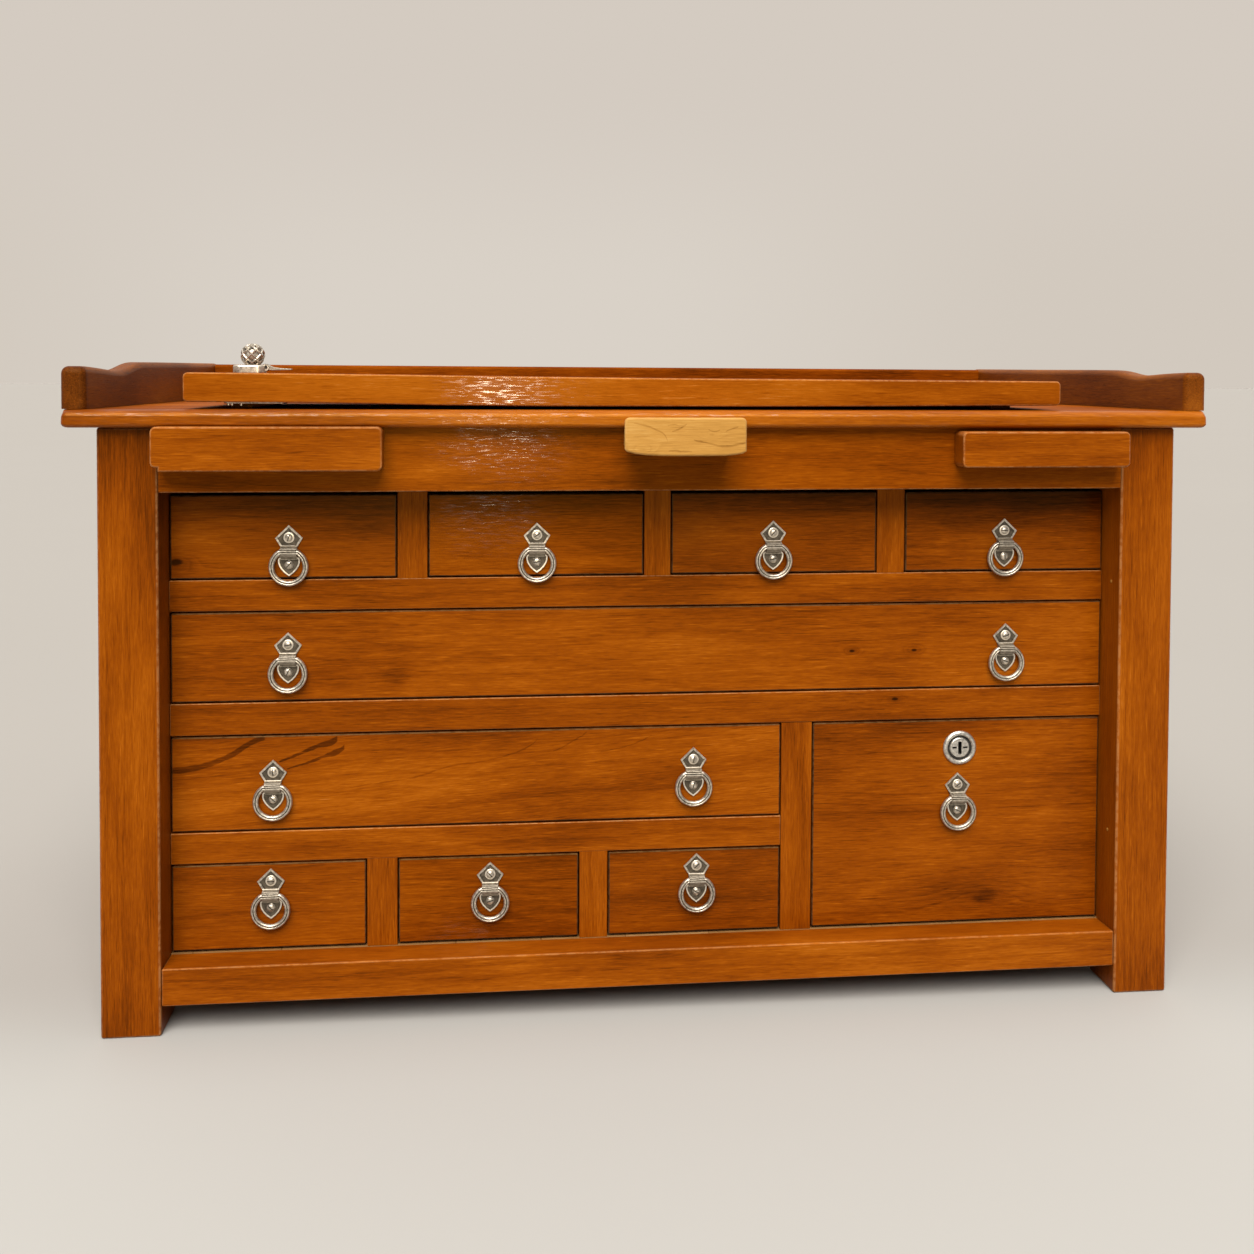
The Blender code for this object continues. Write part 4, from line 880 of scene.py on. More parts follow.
def table_top():
    """Boards glued side by side, with a bull-nosed front edge and ends rounded underneath."""
    mid, r, corner = (TOP_Z0 + TOP_Z1) / 2, (TOP_Z1 - TOP_Z0) / 2, 5.0
    bm = bmesh.new()
    loops = []
    for step in range(15):
        a = math.radians(-90 + 180 * step / 14)
        q = r if a > 0 else 4.6
        z = mid + r * math.sin(a) if a > 0 else TOP_Z0 + q + q * math.sin(a)
        front = q * (1 - math.cos(a))
        side = front if a < 0 else min(front, 1.2)
        left, right, y0 = -TOP_HALF + side, TOP_HALF - side, TOP_FRONT + front
        points = [(left, TOP_BACK)]
        for n in range(7):
            t = math.radians(180 + 90 * n / 6)
            points.append((left + corner + corner * math.cos(t), y0 + corner + corner * math.sin(t)))
        for n in range(7):
            t = math.radians(270 + 90 * n / 6)
            points.append((right - corner + corner * math.cos(t), y0 + corner + corner * math.sin(t)))
        points.append((right, TOP_BACK))
        loops.append([bm.verts.new((x, y, z)) for x, y in points])
    for a, b in zip(loops, loops[1:]):
        for i in range(len(a)):
            j = (i + 1) % len(a)
            bm.faces.new([a[i], a[j], b[j], b[i]])
    bm.faces.new(list(reversed(loops[0])))
    bm.faces.new(loops[-1]).material_index = 1
    look = dict(planks=(128.4, 0.35), pith=(6.0, -80.0), ring=5.0, contrast=0.9)
    # the nose takes a lighter copy of the top's wood than the top face (tone 0.14 against 0.06): painted light on the
    # nose, painted shade on the top
    nose = wood("table_top_nose_wood", "xyz", (0, 309, TOP_Z1), 14, sparkle=0.75, shine=0.22, tone=0.14, stain=((-500.0, 0.0, 240.0, 500.0, 0.20), (430.0, 0.0, 260.0, 500.0, 0.05)), **look)
    face = wood("table_top_wood", "xyz", (0, 309, TOP_Z1), 14, gloss=0.0, tone=0.06, **look)
    Piece("table_top_boards").add(bm, nose, face).done("frame", "table_top")


def gallery():
    front, r, base = -5.0, 8.0, TOP_Z1 + GAP
    for name, x0, x1, wave, seed, tone in (
        ("left", -GALLERY_OUT, -GALLERY_IN, WAVE_LEFT, 15, -0.13), ("right", GALLERY_IN, GALLERY_OUT, WAVE_RIGHT, 16, -0.08),
    ):
        top = wave[0][1]
        outline = [(front, base)]
        for n in range(7):
            a = math.radians(180 - 90 * n / 6)
            outline.append((front + r + r * math.cos(a), top - r + r * math.sin(a)))
        outline += wave[1:]
        outline.append((TOP_BACK, base))
        bm = prism(outline, "X", x0, x1)
        bevel(bm, 6.9, 6, keep=lambda a, b: abs(a.x - b.x) < 0.01 and max(a.z, b.z) > base + 1.0 and not (a.y > TOP_BACK - 0.1 and b.y > TOP_BACK - 0.1))
        face = x1 if name == "left" else x0
        mat = wood(f"gallery_{name}_wood", "yzx", (face, 200, 667), seed, pith=(-30.0, 45.0), tone=tone, palette=SHEENED_BROWN, contrast=0.9, gloss=0.45, rings=0.5, stain=((-5.0, 667.0, 16.0, 60.0, 0.22 if name == "left" else 0.05),))
        Piece(f"gallery_rail_{name}").add(bm, mat).done("frame", f"gallery_{name}")
    x0, x1 = -GALLERY_IN + GAP, GALLERY_IN - GAP
    mat = front_board("gallery_back_wood", x0, x1, base, 691, y=606.0, seed=17, pith=(30.0, 60.0), gloss=0.0, tone=-0.12)
    bm = prism([(x0, base), (x1, base), (x1, 690.7), (x0, 693.5)], "Y", 606.0, TOP_BACK)
    piece = Piece("gallery_rail_back")
    piece.add(bevel(bm, 5.0, 4, keep=lambda a, b: min(a.z, b.z) > 680.0 and abs(a.x - b.x) > 1.0), mat)
    piece.done("frame", "gallery_back")


def raised_board():
    x0, x1 = -487.5, 444.5
    r = 5.0

    def corner(cx, cz, start):
        return [(cx + r * math.cos(math.radians(start + 18 * n)), cz + r * math.sin(math.radians(start + 18 * n))) for n in range(6)]

    def smooth(points):
        """The points with three more between each two, on a curve through them."""
        out = []
        for i in range(len(points) - 1):
            p0, p1, p2, p3 = (points[min(max(k, 0), len(points) - 1)] for k in (i - 1, i, i + 1, i + 2))
            for n in range(4):
                t = n / 4
                z = 0.5 * (2 * p1[1] + (p2[1] - p0[1]) * t + (2 * p0[1] - 5 * p1[1] + 4 * p2[1] - p3[1]) * t * t + (3 * p1[1] - p0[1] - 3 * p2[1] + p3[1]) * t ** 3)
                out.append((p1[0] + (p2[0] - p1[0]) * t, z))
        return out[1:]

    outline = corner(x0 + r, BOARD_UNDER[0][1] + r, 180)
    outline += smooth(BOARD_UNDER)
    outline += corner(x1 - r, BOARD_UNDER[-1][1] + r, 270)
    outline += corner(x1 - r, BOARD_TOP[-1][1] - r, 0)
    outline += reversed(smooth(BOARD_TOP))
    outline += corner(x0 + r, BOARD_TOP[0][1] - r, 90)
    bm = bevel(prism(outline, "Y", 10.0, 270.0), 1.8, 3, keep=lambda a, b: abs(a.y - b.y) < 0.01)
    bm.normal_update()
    for face in bm.faces:
        if face.normal.z > 0.8:
            face.material_index = 1
    look = dict(seed=18, pith=(20.0, 70.0), contrast=0.9)
    # the front is lighter towards its left end (the patch with depth below 0): painted light; the top takes a darker,
    # matte copy of the same wood: painted shade on the top
    mat = front_board("raised_board_wood", x0, x1, 647, 681, y=10.0, tone=0.11, arris=0.35, sparkle=1.0, patch=(-150.0, 665.0, 88.0, 40.0), bump=0.45, stain=((-420.0, 665.0, 300.0, 90.0, -0.06), (400.0, 665.0, 190.0, 90.0, 0.15), (250.0, 665.0, 190.0, 90.0, 0.05)), **look)
    upper = front_board("raised_board_top_wood", x0, x1, 647, 681, y=10.0, tone=0.0, gloss=0.0, arris=0.25, **look)
    bearer = wood("bearer_wood", "yzx", (0, 143, 648), 19, pith=(30.0, 50.0))
    piece = Piece("riser_board")
    piece.add(bm, mat, upper, edge_band=1.8)
    for a, b, top in ((-446.0, -424.0, 651.0), (380.0, 402.0, 649.0)):
        piece.box(bearer, a, b, 46.0, 240.0, TOP_Z1 + GAP, top, 0.8, 2)
    piece.done("frame", "raised_board")


# --------------------------------------------------------------------- drawers
STREAKS = (
    ((-508.7, 261.8, 3.4), (-480.2, 265.6, 3.6), (-452.4, 274.5, 3.0), (-440.2, 281.4, 3.6), (-428.5, 288.8, 3.0), (-411.2, 295.9, 3.4)),
    ((-397.9, 268.8, 0.8), (-380.8, 275.1, 1.6), (-355.3, 285.4, 2.6), (-343.2, 288.4, 3.6), (-336.2, 292.4, 3.0)),
    ((-389.7, 261.4, 0.7), (-370.2, 266.6, 1.2), (-348.6, 274.3, 2.0), (-336.2, 278.4, 3.4), (-328.8, 283.4, 2.6)),
    ((-344.6, 237.3, 0.3), (-292.0, 243.4, 0.6), (-249.8, 250.0, 0.9), (-221.1, 258.5, 0.9), (-174.5, 265.5, 0.8), (-138.7, 276.2, 0.9), (-122.5, 288.9, 0.6)),
    ((-107.4, 272.7, 0.5), (-91.1, 280.5, 0.9), (-70.5, 293.1, 0.6)),
    ((-56.3, 270.9, 0.4), (-23.6, 277.7, 0.8), (0.5, 288.1, 0.5)),
)
DRAWERS = {
    "top_1": (-508.4, -274.5, RAIL_1[1], 552.4, dict(seed=21, pith=(-10.0, 66.0), tone=0.01, contrast=0.9, knots=((-502.3, 482.6, 7.0, 0.9),))),
    "top_2": (-240.6, -10.1, RAIL_1[1], 552.4, dict(seed=22, pith=(16.0, 60.0), tone=0.02, contrast=1.0, stain=((-60.0, 467.0, 46.0, 6.0, 0.16),), sparkle=0.7, patch=(-178.0, 528.0, 70.0, 54.0))),
    "top_3": (21.0, 248.8, RAIL_1[1], 552.4, dict(seed=23, pith=(-18.0, 56.0), tone=-0.05)),
    "top_4": (282.1, 509.1, RAIL_1[1], 552.4, dict(seed=24, pith=(8.0, 64.0), tone=-0.08)),
    "long": (-508.3, 508.8, RAIL_2[1], 428.3, dict(seed=25, pith=(-6.0, 72.0), tone=0.02, wander=18.0, stain=((-274.0, 355.0, 29.0, 18.0, 0.12), (-274.0, 355.0, 21.0, 12.5, 0.10)), knots=((222.8, 376.4, 3.0, 0.85), (293.3, 376.3, 3.4, 0.85)))),
    "wide": (-508.6, 143.0, RAIL_3[1], 296.9, dict(seed=26, pith=(-10.0, 60.0), tone=0.02, tilt=0.05, contrast=1.1, wander=22.0, streaks=STREAKS)),
    "small_1": (-508.6, -306.9, FLOOR_TOP, 160.4, dict(seed=27, pith=(12.0, 58.0), tone=-0.045)),
    "small_2": (-272.5, -79.5, FLOOR_TOP, 160.4, dict(seed=28, pith=(-14.0, 54.0), tone=-0.05, sparkle=0.8, patch=(-200.0, 72.0, 50.0, 26.0))),
    "small_3": (-46.6, 142.8, FLOOR_TOP, 160.4, dict(seed=29, pith=(10.0, 62.0), tone=-0.07)),
    "lock": (179.5, 508.6, FLOOR_TOP, 296.9, dict(seed=30, pith=(-22.0, 78.0), tone=-0.04, wander=24.0, knots=((378.4, 96.7, 16.0, 0.30),), stain=((490.0, 190.0, 60.0, 110.0, 0.10),))),
}
LOCK_X, LOCK_Z = 346.4, 266.0
# painted shade under the apron and the arm rests: the top row of drawer fronts darker towards the top
TOP_ROW_PAINTED_SHADE = ((558.0, 478.0, 0.17), (556.0, 534.0, 0.14))


def drawers():
    for name, (x0, x1, panel, top, look) in DRAWERS.items():
        bottom, box_top = panel + 0.4, top - 12.0
        front_z = bottom if panel == FLOOR_TOP else panel + 1.5
        a, b, y_front, back = x0 + 2.5, x1 - 2.5, FACE_Y + 20.0, 540.0
        piece = Piece(f"drawer_{name}_front")
        # the top-row fronts take that painted shade, the others are darker towards their top edge; the dark-edge weight
        # paints shade on their rounded edges
        mat = front_board(f"drawer_{name}_wood", x0, x1, front_z, top, arris=0.12, grime=0.50, fade=TOP_ROW_PAINTED_SHADE if name.startswith("top") else ((top + 4.0, top - 34.0, 0.09),), **look)
        bm = bevel(block(x0, x1, FACE_Y, y_front, front_z, top), 1.7, 4)
        if name == "lock":
            hole = turned(((0.0, -20.0), (13.3, -20.0), (13.3, 20.0), (0.0, 20.0)), (LOCK_X, FACE_Y + 10.0, LOCK_Z), "Y")
            bm = boolean(bm, hole)
        piece.add(bm, mat, edge_band=1.7)
        piece.box(INNER_SIDE, a, a + 10.0, y_front - 0.3, back, bottom, box_top, 1.0, 2)
        piece.box(INNER_SIDE, b - 10.0, b, y_front - 0.3, back, bottom, box_top, 1.0, 2)
        piece.box(INNER_CROSS, a + 9.8, b - 9.8, back - 10.0, back, bottom, box_top, 1.0, 2)
        piece.box(INNER_PANEL, a + 9.8, b - 9.8, y_front - 0.3, back - 9.8, bottom, bottom + 6.0, 0.3, 1)
        piece.done(f"drawer_{name}", f"drawer_{name}")


# ------------------------------------------------------- arm rests, bench pin
def arm_rests():
    x0, x1, z0 = -511.6, -283.7, 581.9
    step = ((-504.0, z0), (-504.0, z0 + 4.3), (x0 + 4.0, z0 + 4.3), (x0 + 1.0, z0 + 5.9), (x0, z0 + 8.9))
    front = list(reversed(step)) + rounded(x0, x1, z0, 627.0, 6.0)[7:]
    body = list(reversed(step)) + rounded(x0, x1, z0, 624.9, (0.5, 6.0, 3.0, 3.0))[7:]
    mat = front_board("arm_rest_left_wood", x0, x1, z0, 627, y=-26.0, seed=31, pith=(-14.0, 60.0), tone=0.03)
    slide = wood("slide_left_wood", "yzx", (-400, 150, 608), 33, pith=(30.0, 60.0), gloss=0.5)
    piece = Piece("arm_rest_block_left")
    piece.add(bevel(prism(front, "Y", -26.0, -12.9), 2.2, 4, keep=lambda a, b: a.y < -25.9 and b.y < -25.9), mat, edge_band=2.2)
    piece.add(prism(body, "Y", -13.0, -0.4), mat)
    piece.box(slide, -505.0, -290.0, -1.0, 330.0, *SLIDE_Z, 1.2, 2)
    piece.done("arm_rest_left", "arm_rest_left")

    x0, x1, z0 = 322.1, 507.3, 583.6
    mat = front_board("arm_rest_right_wood", x0, x1, z0, 622, y=-26.0, seed=32, pith=(18.0, 58.0), tone=0.02)
    slide = wood("slide_right_wood", "yzx", (414, 150, 608), 34, pith=(30.0, 60.0), gloss=0.5)
    piece = Piece("arm_rest_block_right")
    piece.add(bevel(prism(rounded(x0, x1, z0, 621.9, 5.5), "Y", -26.0, -0.4), 2.2, 4, keep=lambda a, b: a.y < -25.9 and b.y < -25.9), mat, edge_band=2.2)
    piece.box(slide, 330.0, 499.0, -1.0, 330.0, *SLIDE_Z, 1.2, 2)
    piece.done("arm_rest_right", "arm_rest_right")


def bench_pin():
    """Wedge that narrows and falls a little towards the bench."""
    def shape(left, right, top, low=0.0):
        r = 5.0
        points = [
            (left, 607.0), (left + 0.9, 605.2 + low), (left + 2.4, 603.8 + low), (left + 11.0, 601.5 + low), (left + 21.4, 600.2 + low), (-5.0, 599.5 + low), (10.0, 599.3 + low),
            (35.0, 599.3 + low), (60.0, 599.5 + low), (right - 10.0, 600.6 + low), (right - 3.7, 601.8 + low), (right, 604.0 + low),
        ]
        for cx, start in ((right - r, 0), (left + r, 90)):
            for n in range(6):
                a = math.radians(start + 18 * n)
                points.append((cx + r * math.cos(a), top - r + r * math.sin(a)))
        return points

    mat = wood(
        "bench_pin_wood", "xzy", (20, -70, 619), 35, palette=BEECH, gloss=0.25, ring=5.5, pith=(-30.0, 26.0), wander=16.0, contrast=1.35, tone=0.02,
        streaks=(
            ((-33.0, 632.0, 0.4), (-27.0, 631.0, 0.8), (-14.0, 627.4, 0.8), (-3.2, 622.0, 0.9), (1.4, 613.0, 1.0)),
            ((27.0, 615.4, 0.4), (44.4, 612.1, 1.0), (57.4, 609.5, 1.3), (70.4, 610.6, 1.1), (81.0, 613.4, 0.7)),
            ((1.0, 629.6, 0.4), (8.0, 630.8, 0.9), (14.0, 629.8, 0.5), (20.6, 632.0, 0.8)),
            ((5.4, 623.8, 0.6), (10.9, 626.4, 0.8), (19.5, 630.2, 0.5)),
            ((42.3, 625.6, 0.5), (48.0, 624.0, 0.7), (54.2, 626.0, 0.5)),
            ((59.6, 624.0, 0.5), (66.0, 626.6, 0.8), (72.6, 628.4, 0.6)),
            ((2.0, 603.8, 0.5), (12.0, 604.8, 0.9), (26.0, 603.6, 0.5)),
        ),
        knots=((-24.0, 605.4, 5.0, 0.16), (46.0, 621.0, 3.0, 0.22)),
    )
    bm = bmesh.new()
    first = [bm.verts.new((x, -70.0, z)) for x, z in shape(-42.2, 81.7, 638.1)]
    last = [bm.verts.new((x, -12.9, z)) for x, z in shape(-36.0, 77.0, 635.5)]
    bm.faces.new(first)
    bm.faces.new(list(reversed(last)))
    for i in range(len(first)):
        j = (i + 1) % len(first)
        bm.faces.new([first[j], first[i], last[i], last[j]])
    bmesh.ops.recalc_face_normals(bm, faces=bm.faces)
    bevel(bm, 2.6, 4, keep=lambda a, b: a.y < -69.9 and b.y < -69.9)
    piece = Piece("bench_pin_block")
    piece.add(bm, mat, edge_band=2.6)
    piece.add(prism(shape(-35.8, 76.8, 624.9, 0.2), "Y", -13.0, -0.4), mat)
    piece.box(mat, PIN_TONGUE[0], PIN_TONGUE[1], -1.0, 58.0, PIN_TONGUE[2], PIN_TONGUE[3], 1.2, 2)
    piece.done("bench_pin", "bench_pin", slot="beech")


# --------------------------------------------------------------- ring pulls
PULLS = {
    "top_1": (-386.3, 492.0), "top_2": (-125.2, 492.7), "top_3": (133.0, 493.1), "top_4": (394.9, 493.7),
    "long_left": (-387.6, 378.3), "long_right": (397.7, 376.2), "wide_left": (-403.6, 242.9), "wide_right": (46.1, 245.4),
    "small_1": (-406.2, 126.9), "small_2": (-174.8, 126.0), "small_3": (50.1, 128.0), "lock": (344.3, 209.5),
}
OF_DRAWER = {"long_left": "long", "long_right": "long", "wide_left": "wide", "wide_right": "wide"}
RING_R, WIRE_R, PIVOT_OUT, STRAP_HALF = 17.7, 2.95, 5.05, 8.6


def dished(outline, front, back, rim, depth):
    """A plate with a raised rim round a sunk field; the field takes the second material."""
    bm = prism(outline, "Y", front, back)
    bm.normal_update()
    face = min((f for f in bm.faces), key=lambda f: f.calc_center_median().y)
    bmesh.ops.inset_region(bm, faces=[face], thickness=rim * 0.35, depth=0.0, use_even_offset=True)
    bmesh.ops.inset_region(bm, faces=[face], thickness=rim * 0.65, depth=-0.15, use_even_offset=True)
    bmesh.ops.inset_region(bm, faces=[face], thickness=depth * 0.6, depth=-depth, use_even_offset=True)
    face.material_index = 1
    for edge in face.edges:
        for other in edge.link_faces:
            other.material_index = 1
    return bm


def screw(x, y, z, radius, height, turn):
    """Domed screw head with its slot, facing the front."""
    profile = [(0.0, 0.0)]
    for n in range(7):
        a = math.radians(90 - 90 * n / 6)
        profile.append((radius * math.cos(a) * 0.94, -0.35 - (height - 0.35) * math.sin(a)) if n else (0.0, -height))
    profile = [(0.0, -height)] + [
        (radius * 0.94 * math.sin(math.radians(90 * n / 6)), -0.35 - (height - 0.35) * math.cos(math.radians(90 * n / 6))) for n in range(1, 7)
    ] + [(radius, -0.2), (radius, 0.6), (0.0, 0.6)]
    bm = turned(profile, (0, 0, 0), "Y", 28)
    cutter = block(-radius - 1.0, radius + 1.0, -height - 1.0, -height * 0.42, -0.55, 0.55)
    for face in cutter.faces:
        face.material_index = 1
    bm = boolean(bm, cutter)
    return moved(bm, (x, y, z), Matrix.Rotation(math.radians(turn), 4, "Y"))


def strap():
    """The plate folded round the ring's bar: flat ribs above, a ribbed barrel over the bar."""
    back = PIVOT_OUT - GAP
    front = back - 2.1
    outline = [(back, -7.8), (back, 7.2), (front - 0.5, 7.2), (front - 0.9, 6.6), (front - 0.5, 5.9), (front - 0.15, 5.5), (front - 0.9, 5.0)]
    steps = 56
    for n in range(steps + 1):
        a = 84 + 196 * n / steps
        r = WIRE_R + 1.9
        groove = 0.0
        for at in (112.0, 140.0, 168.0, 226.0):
            groove = max(groove, math.exp(-(((a - at) / 5.5) ** 2)))
        r -= 0.95 * groove
        outline.append((r * math.cos(math.radians(a)), r * math.sin(math.radians(a))))
    outline += [(front - 0.5, -5.3), (front - 0.1, -6.0), (front - 0.6, -6.9), (front - 0.4, -7.8)]
    bm = prism(outline, "X", -STRAP_HALF, STRAP_HALF)
    bm.normal_update()
    for face in bm.faces:
        c = face.calc_center_median()
        if abs(c.x) < 1.0 and len(face.verts) == 4:
            r = math.hypot(c.y, c.z)
            if c.y < 0.5 and r < WIRE_R + 1.9 - 0.35:
                face.material_index = 1
    return bm


def eye():
    """Clears the space the ring's bar turns in."""
    inner, back = WIRE_R + 0.4, PIVOT_OUT - GAP
    outline = [(back - 1.5, inner)]
    for n in range(13):
        a = math.radians(90 + 180 * n / 12)
        outline.append((inner * math.cos(a), inner * math.sin(a)))
    outline.append((back - 1.5, -inner))
    return prism(outline, "X", -STRAP_HALF - 3.0, STRAP_HALF + 3.0)


def plate_mesh():
    back = PIVOT_OUT - GAP
    front = back - 1.5
    kite = ((0.0, 28.6), (14.2, 15.0), (8.2, 5.0), (-8.2, 5.0), (-14.2, 15.0))
    shield = (
        (-8.0, -4.6), (-10.9, -6.6), (-11.4, -8.6), (-11.2, -11.4), (-10.1, -14.8), (-7.9, -18.4), (-4.6, -22.0), (0.0, -25.4),
        (4.6, -22.0), (7.9, -18.4), (10.1, -14.8), (11.2, -11.4), (11.4, -8.6), (10.9, -6.6), (8.0, -4.6),
    )
    parts = [dished(kite, front, back, 1.9, 0.7), dished(shield, front, back, 1.5, 0.6), boolean(strap(), eye())]
    boss = turned(((0.0, -1.1), (5.0, -1.1), (5.6, -0.7), (5.7, 0.6), (0.0, 0.6)), (0.0, front + 0.6, 15.4), "Y", 36)
    parts.append(boss)
    return parts


def ring_mesh():
    """Round wire with a groove along its front and back, and a short straight bar inside the strap."""
    bar = STRAP_HALF + 0.9
    drop = math.sqrt(RING_R ** 2 - bar ** 2)
    start = math.atan2(drop, bar)
    path = [Vector((-bar, 0.0, 0.0)), Vector((-bar * 0.5, 0.0, 0.0)), Vector((bar * 0.5, 0.0, 0.0)), Vector((bar, 0.0, 0.0))]
    steps = 56
    sweep = 2 * math.pi - (math.pi - 2 * start)
    for n in range(1, steps):
        a = start - sweep * n / steps
        path.append(Vector((RING_R * math.cos(a), 0.0, -drop + RING_R * math.sin(a))))
    section, tags = [], []
    sides = 28
    for k in range(sides):
        a = 2 * math.pi * k / sides
        near = min(abs(math.remainder(a - math.pi / 2, 2 * math.pi)), abs(math.remainder(a + math.pi / 2, 2 * math.pi)))
        section.append((WIRE_R * (1 - 0.38 * math.exp(-((near / 0.28) ** 2))), a))
        half = 2 * math.pi * (k + 0.5) / sides
        near = min(abs(math.remainder(half - math.pi / 2, 2 * math.pi)), abs(math.remainder(half + math.pi / 2, 2 * math.pi)))
        if near < 0.30:
            tags.append(k)
    return tube(path, section, True, tags=tags)


def pulls():
    ring = as_object(ring_mesh()).data
    plates = [as_object(bm).data for bm in plate_mesh()]
    temporary = [o for o in bpy.context.scene.collection.objects if o.name.startswith("shape")]
    rng = random.Random(5)
    for name, (x, z) in PULLS.items():
        drawer = "drawer_" + OF_DRAWER.get(name, name)
        y = FACE_Y - PIVOT_OUT
        piece = Piece(f"pull_{name}")
        for n, data in enumerate(plates):
            bm = bmesh.new()
            bm.from_mesh(data)
            piece.add(moved(bm, (x, y, z)), RIBBED_AND_SHADE if n == 2 else NICKEL, PATINA, edge_band=0.9)
        for dz, radius, height in ((15.4, 4.3, 2.2), (-13.4, 4.4, 2.3)):
            front = PIVOT_OUT - GAP - 1.5 + (0.1 if dz < 0 else -0.2)
            piece.add(screw(x, y + front, z + dz, radius, height, rng.uniform(0, 180)), NICKEL, PATINA)
        piece.done(drawer, f"pull_plate_{name}", slot="aged_nickel", smooth=35.0)
        piece = Piece(f"ring_{name}")
        bm = bmesh.new()
        bm.from_mesh(ring)
        piece.add(moved(bm, (x, y, z)), NICKEL, PATINA)
        piece.done(f"ring_{name}", f"pull_ring_{name}", slot="aged_nickel", smooth=50.0)
    for obj in temporary:
        bpy.data.objects.remove(obj, do_unlink=True)


# ------------------------------------------------------------------- the lock
def lock():
    at = (LOCK_X, FACE_Y, LOCK_Z)
    case = (
        (11.9, -0.9), (12.6, -0.8), (13.4, -0.9), (13.8, -1.7), (14.3, -2.6), (15.1, -3.3), (16.4, -3.4), (17.6, -2.9), (18.4, -2.1), (18.8, -1.5), (18.8, -GAP),
        (13.0, -GAP), (13.0, 21.5), (11.9, 21.5),
    )
    bm = turned(case, at, "Y", 72)
    # the groove between bezel and plug takes the near-black painted shade
    for face in bm.faces:
        c = face.calc_center_median()
        r = math.hypot(c.x - LOCK_X, c.z - LOCK_Z)
        if r < 14.0 and c.y < FACE_Y + 1.0:
            face.material_index = 1
    Piece("lock_bezel").add(bm, STEEL, HOLE_SHADE).done("drawer_lock", "lock_case", slot="lock_steel", smooth=30.0)

    plug = (
        (0.0, -2.0), (6.0, -2.2), (10.0, -2.0), (10.8, -1.6), (11.3, -0.9), (11.6, -0.2), (11.6, 22.5), (6.0, 22.5), (6.0, 27.0), (0.0, 27.0),
    )
    bm = turned(plug, at, "Y", 64)
    slot = prism(rounded(LOCK_X - 2.0, LOCK_X + 2.0, LOCK_Z - 7.0, LOCK_Z + 7.0, 0.9, 3), "Y", FACE_Y - 5.0, FACE_Y + 8.0)
    cuts = [slot]
    for a, b in ((-8.6, -3.6), (3.6, 8.6)):
        cuts.append(block(LOCK_X + a, LOCK_X + b, FACE_Y - 5.0, FACE_Y + 1.0, LOCK_Z - 0.6, LOCK_Z + 1.4))
    # the keyway and notches take the near-black painted shade
    for cutter in cuts:
        for face in cutter.faces:
            face.material_index = 1
        bm = boolean(bm, cutter)
    outline = rounded(-46.0, 8.0, -7.0, 7.0, 6.0, 5)
    cam = bevel(prism([(LOCK_X + x, LOCK_Z + z) for x, z in outline], "Y", 65.0, 67.5), 0.5, 2)
    nut = prism([(LOCK_X + 6.5 * math.cos(math.radians(60 * n)), LOCK_Z + 6.5 * math.sin(math.radians(60 * n))) for n in range(6)], "Y", 67.5, 68.8)
    piece = Piece("lock_barrel")
    piece.add(bm, STEEL, HOLE_SHADE)
    piece.add(cam, STEEL, edge_band=0.5)
    piece.add(nut, STEEL)
    piece.done("lock_cylinder", "lock_cylinder", slot="lock_steel", smooth=30.0)


